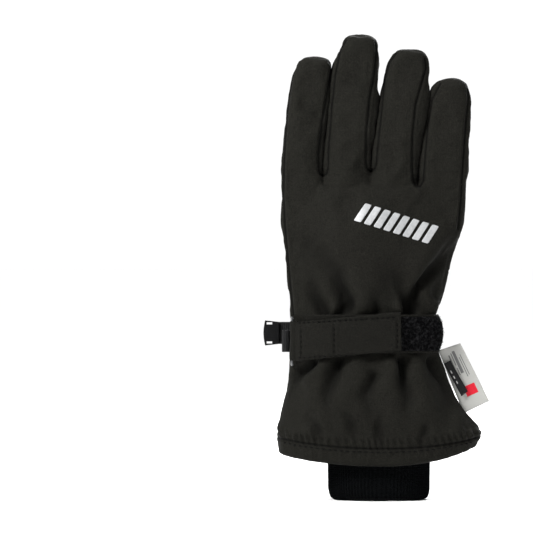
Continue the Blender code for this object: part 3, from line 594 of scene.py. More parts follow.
finger_number = np.empty(len(points), np.float32)
body.data.attributes["finger"].data.foreach_get("value", finger_number)
finger_number = np.round(finger_number[polygons].mean(axis=1))
for number, finger in enumerate(NAMES):
    mine = (finger_number == number) & (z > FINGER_STARTS[finger])
    labels[mine] = f"{finger}_finger"


def cut_piece(name, chosen, finish, body_name):
    """Makes a piece of the bag's faces, with the bag's own shading across its edges."""
    used, index = np.unique(polygons[chosen], return_inverse=True)
    mesh = bpy.data.meshes.new(name)
    mesh.from_pydata(points[used], [], index.reshape(-1, 4))
    mesh.materials.append(finish)
    # Painted shade for the fold hollows: grows with the depth of each fold, and goes slightly negative on raised folds,
    # which asks for a painted highlight there.
    painted_fold_shade = np.clip(-folded[used] / 6.0, 0, 0.7) - 0.05 * np.clip(folded[used], 0, 2)
    # Painted shade along the seams, carried to the material as a per-point attribute.
    mesh.attributes.new("seam", "FLOAT", "POINT").data.foreach_set(
        "value", np.maximum(sewn_line, side_seam)[used].astype(np.float32))
    mesh.attributes.new("painted_fold_shade", "FLOAT", "POINT").data.foreach_set("value", painted_fold_shade.astype(np.float32))
    mesh.shade_smooth()
    mesh.normals_split_custom_set_from_vertices(normals[used])
    piece = bpy.data.objects.new(name, mesh)
    bpy.context.collection.objects.link(piece)
    if body_name:
        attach(piece, body_name)
    return piece


def grip(name):
    """Supple coated cloth, embossed all over with a small herringbone."""
    coated = bpy.data.materials.new(name)
    coated.use_nodes = True
    nodes, links = coated.node_tree.nodes, coated.node_tree.links
    shader, place = nodes["Principled BSDF"], nodes.new("ShaderNodeTexCoord")
    parts, zig = nodes.new("ShaderNodeSeparateXYZ"), nodes.new("ShaderNodeMath")
    links.new(place.outputs["Object"], parts.inputs["Vector"])
    zig.operation = "PINGPONG"
    zig.inputs[1].default_value = 0.0028
    links.new(parts.outputs["X"], zig.inputs[0])
    slant, ridge, sharp = (nodes.new("ShaderNodeMath") for _ in range(3))
    slant.operation, ridge.operation, sharp.operation = "MULTIPLY_ADD", "PINGPONG", "MULTIPLY"
    links.new(zig.outputs["Value"], slant.inputs[0])
    slant.inputs[1].default_value = 0.9
    links.new(parts.outputs["Z"], slant.inputs[2])
    links.new(slant.outputs["Value"], ridge.inputs[0])
    ridge.inputs[1].default_value = 0.00075
    links.new(ridge.outputs["Value"], sharp.inputs[0])
    sharp.inputs[1].default_value = 1 / 0.00075
    speck, ramp, bump = nodes.new("ShaderNodeTexNoise"), nodes.new("ShaderNodeValToRGB"), nodes.new("ShaderNodeBump")
    speck.inputs["Scale"].default_value = 900
    links.new(place.outputs["Object"], speck.inputs["Vector"])
    ramp.color_ramp.elements[0].color = (0.0015, 0.0015, 0.0015, 1)
    ramp.color_ramp.elements[1].color = (0.0078, 0.0078, 0.0074, 1)
    links.new(sharp.outputs["Value"], ramp.inputs["Fac"])
    # Painted shade along the patch's edge seams: the coating's colour is mixed towards near-black there.
    seam, shadow = nodes.new("ShaderNodeAttribute"), nodes.new("ShaderNodeMix")
    seam.attribute_name = "seam"
    shadow.data_type = "RGBA"
    shadow.inputs["B"].default_value = (0.002, 0.002, 0.002, 1)
    links.new(seam.outputs["Fac"], shadow.inputs["Factor"])
    links.new(ramp.outputs["Color"], shadow.inputs["A"])
    links.new(shadow.outputs["Result"], shader.inputs["Base Color"])
    links.new(sharp.outputs["Value"], bump.inputs["Height"])
    bump.inputs["Strength"].default_value = 0.8
    bump.inputs["Distance"].default_value = 0.0003
    links.new(bump.outputs["Normal"], shader.inputs["Normal"])
    shader.inputs["Roughness"].default_value = 0.55
    shader.inputs["Specular IOR Level"].default_value = 0.07
    return coated


grip_rubber = grip("grip_rubber")
shell = {}
for name in ("hand_back", "hand_palm", "wrist_gathers", "gauntlet_back", "gauntlet_palm", "hem", "grip_patch"):
    finish = grip_rubber if name == "grip_patch" else shell_cloth
    shell[name] = cut_piece(name, labels == name, finish, "hand")
for finger in NAMES:
    name = f"{finger}_finger"
    shell[name] = cut_piece(name, labels == name, shell_cloth, None)
    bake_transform(shell[name])
    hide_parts(f"{name}_shell", f"{name}_padding", f"{name}_lining")
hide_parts("hand_back_shell", "hand_back_padding", "hand_lining")
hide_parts("hand_palm_shell", "hand_palm_padding")
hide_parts("wrist_elastic")
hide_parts("gauntlet_back_shell")
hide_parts("gauntlet_palm_shell", "gauntlet_lining")
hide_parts("hem_band")
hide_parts("palm_grip_patch")
surface = BVHTree.FromPolygons([tuple(p) for p in points], [tuple(p) for p in polygons])
bpy.data.objects.remove(body)

# ---- Thumb
# The thumb is a smooth padded pouch sewn on in front of the palm. Its lower end is let into the palm, and its seam
# runs down the side that faces the fingers.
THUMB_RINGS = (  # centre x, y, height, half width, half depth
    (-23, 0.0, 97, 18.5, 6.5), (-23.5, 1.5, 102, 19.5, 8.0), (-24, 3.5, 108, 20.5, 9.3), (-24.6, 6.5, 115, 21.2, 10.3),
    (-25, 10.0, 123, 21.6, 11.0), (-25.3, 13.6, 132, 21.8, 11.4), (-25, 16.6, 143, 21.4, 11.2),
    (-23.8, 18.6, 154, 20.4, 10.8), (-21.9, 19.8, 165, 18.8, 10.4), (-19.8, 20.2, 175, 16.8, 9.9),
    (-18.1, 20.4, 183, 14.6, 9.2),
    (-17.2, 20.5, 188.5, 12.4, 8.2),
)
rings = []
for centre, through, height, wide, deep in THUMB_RINGS:
    ring = section(centre, height, wide, deep, 72, 2.3)
    rings.append([(px, py + (through - MIDDLE_Y) * MM, pz) for px, py, pz in ring])
for turn in (0.35, 0.7, 1.0, 1.25, 1.45):
    shrink = math.cos(turn) ** 0.9
    ring = section(-17.2, 188.5 + 9.2 * math.sin(turn), 12.4 * shrink, 8.2 * shrink, 72, 2.3)
    rings.append([(px, py + (20.5 - MIDDLE_Y) * MM, pz) for px, py, pz in ring])
thumb = skin([loft("thumb", rings)], 0.0014)
relax(thumb, 0.5, 2)
points, normals = corners(thumb), outward(thumb)
ring_x, ring_y, ring_height, ring_wide, _ = np.array(THUMB_RINGS, float).T
across, through, heights = points.T / MM
on_seam = across > np.interp(heights, ring_height, ring_x + ring_wide * 0.9)
on_seam &= np.abs(through - np.interp(heights, ring_height, ring_y)) < 0.9
blow_up(thumb, on_seam | (points[:, 2] < 0.106), 1.4, 0.01, 0.02, 1.6 * MM, 8)
relax(thumb, 0.5, 1)
only(thumb)
finer = thumb.modifiers.new("finer", "SUBSURF")
finer.levels = finer.render_levels = 1
bpy.ops.object.modifier_apply(modifier="finer")
points, normals = corners(thumb), outward(thumb)
heights = points[:, 2] / MM
middle_y = np.interp(heights, ring_height, ring_y)
edge_x = np.interp(heights, ring_height, ring_x)
off = np.where(points[:, 0] / MM > edge_x + 3, np.abs(points[:, 1] / MM - middle_y), 9)
groove = np.exp(-((off / 0.6) ** 2))
lift = -0.7 * groove + 0.15 * np.exp(-(((off - 1.6) / 0.8) ** 2))
THUMB_FOLDS = (
    (((-44, 116), (-30, 108)), -1.3, 2.4), (((-24, 120), (-21, 103)), -1.5, 2.4),
    (((-12, 121), (-14, 103)), -1.2, 2.2), (((-35, 118), (-34, 104)), -1.2, 2.2),
    (((-18, 112), (-17, 102)), 0.8, 2.0), (((-30, 113), (-28, 102)), 0.8, 2.0),
    (((-38, 150), (-12, 149)), -0.4, 4.0),
)
facing = np.clip(normals[:, 1] * 1.6, 0, 1)
for course, depth, width in THUMB_FOLDS:
    lift += facing * depth * np.exp(-((off_course(points[:, 0] / MM, heights, course) / width) ** 2))
points += normals * (lift * MM)[:, None]
rumple(points, normals, 0.016, 0.0004, 8)
place(thumb, points)
thumb.data.materials.append(shell_cloth)
# Painted shade along the thumb's seam groove, through the cloth's seam darkening.
thumb.data.attributes.new("seam", "FLOAT", "POINT").data.foreach_set("value", groove.astype(np.float32))
thumb.data.shade_smooth()
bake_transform(thumb)
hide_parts("thumb_shell", "thumb_padding", "thumb_lining")

# ---- Gauntlet lining
# The wide cuff is lined with a smooth dark knit, turned in at the hem and closed on the wrist above.
def lining_ring(height, inset, rise):
    centre, wide, deep = hand_outline(height)
    ring = section(centre, height, wide - inset, deep - inset, 72)
    lifted = []
    for px, py, pz in ring:
        across = px / MM
        lifted.append((px, py, pz + rise * float(fold_rise(across)) * MM))
    return lifted


# height, depth below the shell, share of the hem's rise
LINING_RINGS = (
    (19.4, 3.0, 1), (19.0, 3.4, 1), (22, 4.2, 1), (32, 5.2, 0.6), (45, 7.5, 0.2), (60, 9.0, 0), (75, 8.5, 0),
    (90, 7.0, 0), (102, 8.5, 0), (118, 9.5, 0), (134, 9.5, 0), (148, 10, 0), (156, 12, 0),
)
rings = [lining_ring(*ring) for ring in LINING_RINGS]
gauntlet_inside = loft("gauntlet_inside", rings)
build = bmesh.new()
build.from_mesh(gauntlet_inside.data)
lid = min(build.faces, key=lambda face: face.calc_center_median().z)
bmesh.ops.delete(build, geom=[lid], context="FACES_ONLY")
bmesh.ops.reverse_faces(build, faces=build.faces)
build.to_mesh(gauntlet_inside.data)
build.free()
gauntlet_inside.data.shade_smooth()
lining_knit = softshell("lining_knit", (0.010, 0.010, 0.010), 1.4)
gauntlet_inside.data.materials.append(lining_knit)
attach(gauntlet_inside, "hand")
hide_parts("gauntlet_lining", "hand_lining")

# ---- Knit cuff
# A doubled tube of black rib knit, sewn inside the gauntlet at the wrist, that hugs the arm. Its ribs run upwards,
# and its lower end is the fold of the doubled knit.
RIBS, AROUND = 92, 6
# height, centre x, half width, half depth, in mm
CUFF_SHAPE = (
    (0, 0.5, 24.6, 15.0), (2, 0.5, 26.2, 16.2), (6, 0.4, 26.9, 16.6), (20, 0.2, 27.0, 16.2),
    (55, -1, 28.5, 15.0), (78, -4, 31.0, 13.2), (98, -5.5, 34.0, 12.8),
)


def rib_ring(height, inset, rib):
    heights, *measures = np.array(CUFF_SHAPE, float).T
    centre, wide, deep = (float(np.interp(height, heights, measure)) for measure in measures)
    ring = []
    for i in range(RIBS * AROUND):
        turn = math.tau * i / (RIBS * AROUND)
        c, s = math.cos(turn), math.sin(turn)
        swell = -inset + rib * (0.5 + 0.5 * math.cos(turn * RIBS)) ** 0.7
        swell += 0.12 * math.sin(3 * turn + height / 9) + 0.10 * math.sin(7 * turn - height / 6)
        across = math.copysign(abs(c) ** (2 / 2.3), c) * (wide + swell)
        through = math.copysign(abs(s) ** (2 / 2.3), s) * (deep + swell)
        ring.append((MM * (centre + across), MM * (MIDDLE_Y + through), MM * height))
    return ring


# Down the inner layer and round the fold: height, depth below the outer layer, height of a rib
CUFF_FOLD = (
    (60, 3.0, 0.3), (30, 3.0, 0.4), (8, 3.0, 0.4), (2.2, 2.9, 0.4), (0.7, 2.2, 0.4), (0.05, 1.3, 0.4),
    (0.3, 0.5, 0.55), (1.3, 0.0, 0.65),
)
rings = [rib_ring(*ring) for ring in CUFF_FOLD]
rings += [rib_ring(h, 0.0, 0.7) for h in (3.5, 6, 9, 12, 15, 18, 21, 25, 30, 40, 55, 70, 85, 97)]
cuff = loft("cuff", rings)
build = bmesh.new()
build.from_mesh(cuff.data)
caps = [face for face in build.faces if len(face.verts) > 4]
bmesh.ops.delete(build, geom=caps, context="FACES_ONLY")
build.to_mesh(cuff.data)
build.free()
if cuff.data.polygons[0].normal.dot(cuff.data.polygons[0].center - Vector((0, MIDDLE_Y * MM, 0.06))) > 0:
    cuff.data.flip_normals()
cuff.data.shade_smooth()


def knit(name, tint, loops):
    """Rib knit of fine stitches, slightly hairy."""
    yarn = bpy.data.materials.new(name)
    yarn.use_nodes = True
    nodes, links = yarn.node_tree.nodes, yarn.node_tree.links
    shader, place = nodes["Principled BSDF"], nodes.new("ShaderNodeTexCoord")
    rows, hairs = nodes.new("ShaderNodeTexWave"), nodes.new("ShaderNodeTexNoise")
    rows.bands_direction = "Z"
    rows.inputs["Scale"].default_value = loops
    rows.inputs["Distortion"].default_value = 1.5
    rows.inputs["Detail Scale"].default_value = 6
    hairs.inputs["Scale"].default_value = 1400
    hairs.inputs["Detail"].default_value = 4
    ramp, relief, bump = nodes.new("ShaderNodeValToRGB"), nodes.new("ShaderNodeMath"), nodes.new("ShaderNodeBump")
    for texture in (rows, hairs):
        links.new(place.outputs["Object"], texture.inputs["Vector"])
    ramp.color_ramp.elements[0].position, ramp.color_ramp.elements[1].position = 0.3, 0.75
    ramp.color_ramp.elements[0].color = (*(c * 0.5 for c in tint), 1)
    ramp.color_ramp.elements[1].color = (*(c * 1.7 for c in tint), 1)
    links.new(hairs.outputs["Fac"], ramp.inputs["Fac"])
    links.new(ramp.outputs["Color"], shader.inputs["Base Color"])
    relief.operation = "ADD"
    links.new(rows.outputs["Fac"], relief.inputs[0])
    links.new(hairs.outputs["Fac"], relief.inputs[1])
    links.new(relief.outputs["Value"], bump.inputs["Height"])
    bump.inputs["Strength"].default_value = 0.7
    bump.inputs["Distance"].default_value = 0.0003
    links.new(bump.outputs["Normal"], shader.inputs["Normal"])
    shader.inputs["Roughness"].default_value = 0.92
    shader.inputs["Specular IOR Level"].default_value = 0.02
    shader.inputs["Sheen Weight"].default_value = 0.008
    return yarn


cuff.data.materials.append(knit("cuff_yarn", (0.0012, 0.0014, 0.0016), 260))
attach(cuff, "hand")
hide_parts("knit_cuff")

# ---- Strap
# A band of the shell cloth is sewn round the back of the wrist with loop tape along it. The free tab passes through a
# clear ring at the index side, folds back over itself and presses its hook tape on the loops.


def remade(node, name, voxel, finish, body_name=None):
    """A cloth piece in the place of its CAD solid, with rounded edges."""
    piece = bpy.data.objects.new(name, bpy.data.objects[node].data.copy())
    bpy.context.collection.objects.link(piece)
    build = bmesh.new()
    build.from_mesh(piece.data)
    bmesh.ops.remove_doubles(build, verts=build.verts, dist=1e-6)
    build.to_mesh(piece.data)
    build.free()
    piece.data.materials.clear()
    piece = skin([piece], voxel)
    relax(piece, 0.5, 2)
    piece.data.materials.clear()
    piece.data.materials.append(finish)
    piece.data.shade_smooth()
    if body_name:
        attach(piece, body_name)
    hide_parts(node)
    return piece


def stitching(name, points, normals, pitch, length, thick, finish, body_name):
    """A row of stitches along a course: each a short thread that dips into the cloth at both ends."""
    course = np.asarray(points, float)
    up = np.asarray(normals, float)
    run = np.concatenate([[0], np.cumsum(np.linalg.norm(np.diff(course, axis=0), axis=1))])
    build = bmesh.new()
    for start in np.arange(pitch / 2, run[-1] - length, pitch):
        rings = []
        for share, swell, sink in (
                (0, 0.45, -0.6), (0.18, 0.9, 0.15), (0.5, 1.0, 0.4), (0.82, 0.9, 0.15), (1, 0.45, -0.6)):
            at = start + share * length
            spot = Vector([np.interp(at, run, course[:, k]) for k in range(3)])
            ahead = Vector([np.interp(min(at + length / 4, run[-1]), run, course[:, k]) for k in range(3)]) \
                - Vector([np.interp(max(at - length / 4, 0), run, course[:, k]) for k in range(3)])
            rise = Vector([np.interp(at, run, up[:, k]) for k in range(3)]).normalized()
            across = ahead.cross(rise).normalized()
            centre = spot + rise * (sink * thick)
            rings.append([build.verts.new(centre + (across * math.cos(k) + rise * math.sin(k)) * thick / 2 * swell)
                          for k in (math.tau * j / 6 for j in range(6))])
        for low, high in zip(rings, rings[1:]):
            for j in range(6):
                build.faces.new((low[j], low[(j + 1) % 6], high[(j + 1) % 6], high[j]))
        build.faces.new(rings[0])
        build.faces.new(rings[-1])
    bmesh.ops.recalc_face_normals(build, faces=build.faces)
    mesh = bpy.data.meshes.new(name)
    build.to_mesh(mesh)
    build.free()
    mesh.materials.append(finish)
    mesh.shade_smooth()
    row = bpy.data.objects.new(name, mesh)
    bpy.context.collection.objects.link(row)
    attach(row, body_name)
    return row


def dropped(tree, x, z, side, lift=0.0):
    """The point of a surface straight behind (side -1) or in front of (side 1) a place, and its normal."""
    hit, normal, _, _ = tree.ray_cast(Vector((x * MM, side * 0.09, z * MM)), Vector((0, -side, 0)))
    if hit is None:
        return None
    return hit + normal * lift, normal


# The thread is near-black: partly the dark thread's own colour, partly painted shade standing in for the shade in the
# stitch holes.
thread = softshell("thread", (0.0014, 0.0014, 0.0013), 0.6)
strap_cloth = softshell("strap_cloth", (0.0052, 0.0050, 0.0041), 1.3)
tab = remade("strap_tab", "tab", 0.0006, strap_cloth, "strap_tab")


def tab_edges(x):
    """Lower and upper edge of the tab at a place across it, in mm."""
    share = (x + 47.8) / 58.9
    return 74.9 + share * 2.9, 97.6 + share * 3.6


TAB_ROWS = {
    "low": [(x, tab_edges(x)[0] + 2.1) for x in np.arange(-44.5, 9.6, 0.75)],
    "high": [(x, tab_edges(x)[1] - 2.1) for x in np.arange(-44.5, 9.6, 0.75)],
    "end": [(9.4, z) for z in np.arange(tab_edges(9.4)[0] + 2.6, tab_edges(9.4)[1] - 2.6, 0.75)],
    "box": [(-24.5, z) for z in np.arange(78.6, 96.6, 0.75)],
    "fold": [(-42.0, z) for z in np.arange(77.6, 95.4, 0.75)],
}
points, normals = corners(tab), outward(tab)
points[:, 0] += np.clip((-0.040 - points[:, 0]) / 0.010, 0, 1) * 0.0021
rumple(points, normals, 0.018, 0.0006, 12)
off = np.min([off_course(points[:, 0] / MM, points[:, 2] / MM, spots) for spots in TAB_ROWS.values()], axis=0)
drawn = np.exp(-((off / 0.55) ** 2))
bite = 1 + 0.5 * np.sin((points[:, 0] + points[:, 2]) / MM / 2.4 * math.tau)
lift = -0.32 * drawn * bite + 0.14 * np.exp(-(((off - 1.5) / 0.7) ** 2))
points += normals * (lift * np.clip(-normals[:, 1], 0, 1) * MM)[:, None]
place(tab, points)
# Painted shade along the tab's stitch rows: a light darkening of the cloth colour where the stitches sink in.
tab.data.attributes.new("seam", "FLOAT", "POINT").data.foreach_set("value", (0.12 * drawn).astype(np.float32))
base = remade("strap_base", "wrist_band", 0.0007, strap_cloth, "hand")


def round_end(piece):
    """The band's end bulges where it turns in to the side seam."""
    points = corners(piece)
    toward = np.clip((points[:, 0] / MM - 29) / 7, 0, 1)
    points[:, 0] -= (toward * 2.6 * np.clip(np.abs(points[:, 2] / MM - 90) / 10, 0, 1) ** 2.2 + 0.8 * toward) * MM
    place(piece, points)


round_end(base)
TAB_TREE = BVHTree.FromObject(tab, bpy.context.evaluated_depsgraph_get())


def tab_course(spots):
    points, normals = [], []
    for x, z in spots:
        found = dropped(TAB_TREE, x, z, -1, 0.00008)
        if found:
            points.append(found[0])
            normals.append(found[1])
    return points, normals


for row, spots in TAB_ROWS.items():
    points, normals = tab_course(spots)
    stitching(f"tab_stitches_{row}", points, normals, 0.0029, 0.0018, 0.00056, thread, "strap_tab")

hook = softshell("hook_plastic", (0.006, 0.006, 0.006), 2.0)
remade("hook_tape", "hooks", 0.0006, hook, "strap_tab")


def pile(name):
    """Felted nylon loops: black and dull, with pale hairs that catch the light."""
    fuzz = bpy.data.materials.new(name)
    fuzz.use_nodes = True
    nodes, links = fuzz.node_tree.nodes, fuzz.node_tree.links
    shader, place = nodes["Principled BSDF"], nodes.new("ShaderNodeTexCoord")
    clumps, hairs = nodes.new("ShaderNodeTexNoise"), nodes.new("ShaderNodeTexVoronoi")
    clumps.inputs["Scale"].default_value = 700
    clumps.inputs["Detail"].default_value = 5
    hairs.inputs["Scale"].default_value = 1500
    ramp, relief, bump = nodes.new("ShaderNodeValToRGB"), nodes.new("ShaderNodeMath"), nodes.new("ShaderNodeBump")
    for texture in (clumps, hairs):
        links.new(place.outputs["Object"], texture.inputs["Vector"])
    ramp.color_ramp.elements[0].position, ramp.color_ramp.elements[1].position = 0.45, 0.8
    ramp.color_ramp.elements[0].color = (0.0012, 0.0012, 0.0014, 1)
    ramp.color_ramp.elements[1].color = (0.022, 0.022, 0.023, 1)
    links.new(clumps.outputs["Fac"], ramp.inputs["Fac"])
    links.new(ramp.outputs["Color"], shader.inputs["Base Color"])
    relief.operation = "SUBTRACT"
    links.new(clumps.outputs["Fac"], relief.inputs[0])
    links.new(hairs.outputs["Distance"], relief.inputs[1])
    links.new(relief.outputs["Value"], bump.inputs["Height"])
    bump.inputs["Strength"].default_value = 0.9
    bump.inputs["Distance"].default_value = 0.0005
    links.new(bump.outputs["Normal"], shader.inputs["Normal"])
    shader.inputs["Roughness"].default_value = 0.95
    shader.inputs["Specular IOR Level"].default_value = 0.03
    return fuzz


loop_fuzz = pile("loop_fuzz")
loops = remade("loop_tape", "loops", 0.0006, loop_fuzz, "hand")
round_end(loops)
LOOP_TREE = BVHTree.FromObject(loops, bpy.context.evaluated_depsgraph_get())
dice = np.random.default_rng(21)
build = bmesh.new()
for _ in range(1500):
    x, z = dice.uniform(8.5, 35.2), dice.uniform(80.6, 99.4)
    found = dropped(LOOP_TREE, x, z, -1)
    turn, lean = dice.uniform(0, math.tau), dice.uniform(-0.5, 0.5)
    wide, tall = dice.uniform(0.35, 0.75) * MM, dice.uniform(0.4, 0.95) * MM
    if found is None or found[1].y > 0.3:
        continue
    rise = found[1]
    across = rise.orthogonal().normalized()
    across.rotate(Quaternion(rise, turn))
    beside = rise.cross(across)
    rings = []
    for step in range(5):
        angle = math.pi * step / 4
        spot = found[0] + across * (math.cos(angle) * wide)
        spot += (rise + beside * lean) * (math.sin(angle) * tall - 0.05 * MM)
        outwards = (across * math.cos(angle) + rise * math.sin(angle)).normalized()
        rings.append([build.verts.new(spot + (outwards * math.cos(k) + beside * math.sin(k)) * 0.055 * MM)
                      for k in (0, math.tau / 3, 2 * math.tau / 3)])
    for low_ring, high_ring in zip(rings, rings[1:]):
        for j in range(3):
            build.faces.new((low_ring[j], low_ring[(j + 1) % 3], high_ring[(j + 1) % 3], high_ring[j]))
    build.faces.new(rings[0])
    build.faces.new(rings[-1])
bmesh.ops.recalc_face_normals(build, faces=build.faces)
mesh = bpy.data.meshes.new("loop_hairs")
build.to_mesh(mesh)
build.free()
mesh.materials.append(loop_fuzz)
hairs = bpy.data.objects.new("loop_hairs", mesh)
bpy.context.collection.objects.link(hairs)
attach(hairs, "hand")


# ---- Ring, webbing and clip
# The strap turns back through a moulded ring that a short webbing keeper sews to the wrist. A small side-release
# clip hangs on its own webbing loop beside it and pairs the two gloves.
def ribbon(name, tint):
    """Narrow woven webbing with ribs across it."""
    web = bpy.data.materials.new(name)
    web.use_nodes = True
    nodes, links = web.node_tree.nodes, web.node_tree.links
    shader, place = nodes["Principled BSDF"], nodes.new("ShaderNodeTexCoord")
    ribs, fibres = nodes.new("ShaderNodeTexWave"), nodes.new("ShaderNodeTexNoise")
    ribs.bands_direction = "X"
    ribs.inputs["Scale"].default_value = 300
    ribs.inputs["Distortion"].default_value = 1.0
    fibres.inputs["Scale"].default_value = 1600
    relief, bump, ramp = nodes.new("ShaderNodeMath"), nodes.new("ShaderNodeBump"), nodes.new("ShaderNodeValToRGB")
    for texture in (ribs, fibres):
        links.new(place.outputs["Object"], texture.inputs["Vector"])
    relief.operation = "ADD"
    links.new(ribs.outputs["Fac"], relief.inputs[0])
    links.new(fibres.outputs["Fac"], relief.inputs[1])
    links.new(relief.outputs["Value"], bump.inputs["Height"])
    bump.inputs["Strength"].default_value = 0.8
    bump.inputs["Distance"].default_value = 0.00025
    links.new(bump.outputs["Normal"], shader.inputs["Normal"])
    ramp.color_ramp.elements[0].color = (*(c * 0.6 for c in tint), 1)
    ramp.color_ramp.elements[1].color = (*(c * 1.5 for c in tint), 1)
    links.new(fibres.outputs["Fac"], ramp.inputs["Fac"])
    links.new(ramp.outputs["Color"], shader.inputs["Base Color"])
    shader.inputs["Roughness"].default_value = 0.7
    shader.inputs["Specular IOR Level"].default_value = 0.12
    return web


webbing = ribbon("webbing_weave", (0.0045, 0.0045, 0.0048))
remade("ring_keeper", "keeper", 0.0005, webbing, "hand")
clip_loop = remade("clip_webbing", "clip_loop", 0.0004, webbing, "clip")
points = corners(clip_loop)
points[:, 0] -= np.clip((-0.0475 - points[:, 0]) / 0.005, 0, 1) * 0.0020
place(clip_loop, points)


def plastic(name, tint, rough, clear=0.0):
    """Moulded plastic with a fine spark-eroded grain."""
    moulded = bpy.data.materials.new(name)
    moulded.use_nodes = True
    nodes, links = moulded.node_tree.nodes, moulded.node_tree.links
    shader, place = nodes["Principled BSDF"], nodes.new("ShaderNodeTexCoord")
    grain, cloud = nodes.new("ShaderNodeTexNoise"), nodes.new("ShaderNodeTexNoise")
    grain.inputs["Scale"].default_value = 2600
    grain.inputs["Detail"].default_value = 3
    cloud.inputs["Scale"].default_value = 160
    bump, ramp, gloss = nodes.new("ShaderNodeBump"), nodes.new("ShaderNodeValToRGB"), nodes.new("ShaderNodeMapRange")
    for texture in (grain, cloud):
        links.new(place.outputs["Object"], texture.inputs["Vector"])
    links.new(grain.outputs["Fac"], bump.inputs["Height"])
    bump.inputs["Strength"].default_value = 0.25
    bump.inputs["Distance"].default_value = 0.00008
    links.new(bump.outputs["Normal"], shader.inputs["Normal"])
    ramp.color_ramp.elements[0].color = (*(c * 0.8 for c in tint), 1)
    ramp.color_ramp.elements[1].color = (*(c * 1.25 for c in tint), 1)
    links.new(cloud.outputs["Fac"], ramp.inputs["Fac"])
    links.new(ramp.outputs["Color"], shader.inputs["Base Color"])
    gloss.inputs["To Min"].default_value, gloss.inputs["To Max"].default_value = rough - 0.06, rough + 0.10
    links.new(cloud.outputs["Fac"], gloss.inputs["Value"])
    links.new(gloss.outputs["Result"], shader.inputs["Roughness"])
    shader.inputs["Specular IOR Level"].default_value = 0.10
    shader.inputs["Transmission Weight"].default_value = clear
    return moulded


for place_in in bpy.data.objects["clip_body"].material_slots:
    place_in.material = plastic("clip_plastic", (0.0012, 0.0012, 0.0014), 0.42)
ring_plastic = plastic("ring_plastic", (0.09, 0.092, 0.095), 0.28, 0.3)
ring = remade("strap_ring", "slide_ring", 0.00035, ring_plastic, "hand")
points = corners(ring)
points[:, 0] += np.clip(-0.0470 - points[:, 0], 0, 1) * 0.88
place(ring, points)

# ---- Hem stitching
# One row of lockstitch holds the hem band just under its upper edge, all the way round.
for side, name in ((-1, "hem_stitches_back"), (1, "hem_stitches_palm")):
    points, normals = [], []
    for x in np.arange(-52.5, 53.0, 0.8):
        z = 26.9 + (4.9 * (x / 53) ** 2 if x < 0 else 6.0 * abs(x / 55) ** 2.3)
        found = dropped(surface, x, z, side, 0.00005)
        if found:
            points.append(found[0])
            normals.append(found[1])
    stitching(name, points, normals, 0.0033, 0.0022, 0.00056, thread, "hand")

# ---- Labels
# Two woven satin labels are caught in the side seam below the strap: a white one with grey print and a red block, and
# a small black one on it. Each is a single strip of ribbon with sealed edges.


def printed(name, tint, stripes):
    """Satin ribbon that shines along its length, with plain printed marks placed by the ribbon's own map."""
    satin = bpy.data.materials.new(name)
    satin.use_nodes = True
    nodes, links = satin.node_tree.nodes, satin.node_tree.links
    shader, flat = nodes["Principled BSDF"], nodes.new("ShaderNodeUVMap")
    flat.uv_map = "ribbon"
    parts = nodes.new("ShaderNodeSeparateXYZ")
    links.new(flat.outputs["UV"], parts.inputs["Vector"])
    weave = nodes.new("ShaderNodeTexNoise")
    weave.inputs["Scale"].default_value = 160
    links.new(flat.outputs["UV"], weave.inputs["Vector"])
    ramp = nodes.new("ShaderNodeValToRGB")
    ramp.color_ramp.elements[0].color = (*(c * 0.9 for c in tint), 1)
    ramp.color_ramp.elements[1].color = (*(min(1, c * 1.06) for c in tint), 1)
    links.new(weave.outputs["Fac"], ramp.inputs["Fac"])
    colour = ramp.outputs["Color"]

    def between(value, low, high):
        above, below, both = (nodes.new("ShaderNodeMath") for _ in range(3))
        above.operation, below.operation, both.operation = "GREATER_THAN", "LESS_THAN", "MULTIPLY"
        above.inputs[1].default_value, below.inputs[1].default_value = low, high
        links.new(value, above.inputs[0])
        links.new(value, below.inputs[0])
        links.new(above.outputs["Value"], both.inputs[0])
        links.new(below.outputs["Value"], both.inputs[1])
        return both.outputs["Value"]

    for u0, u1, v0, v1, ink in stripes:
        across, along, both, mix = between(parts.outputs["X"], u0, u1), between(parts.outputs["Y"], v0, v1), \
            nodes.new("ShaderNodeMath"), nodes.new("ShaderNodeMix")
        both.operation = "MULTIPLY"
        links.new(across, both.inputs[0])
        links.new(along, both.inputs[1])
        mix.data_type = "RGBA"
        mix.inputs["B"].default_value = (*ink, 1)
        links.new(both.outputs["Value"], mix.inputs["Factor"])
        links.new(colour, mix.inputs["A"])
        colour = mix.outputs["Result"]
    links.new(colour, shader.inputs["Base Color"])
    threads, bump = nodes.new("ShaderNodeTexWave"), nodes.new("ShaderNodeBump")
    threads.bands_direction = "X"
    threads.inputs["Scale"].default_value = 22
    threads.inputs["Distortion"].default_value = 0.4
    links.new(flat.outputs["UV"], threads.inputs["Vector"])
    links.new(threads.outputs["Fac"], bump.inputs["Height"])
    bump.inputs["Strength"].default_value = 0.25
    bump.inputs["Distance"].default_value = 0.00008
    links.new(bump.outputs["Normal"], shader.inputs["Normal"])
    shader.inputs["Roughness"].default_value = 0.48
    shader.inputs["Specular IOR Level"].default_value = 0.14
    return satin


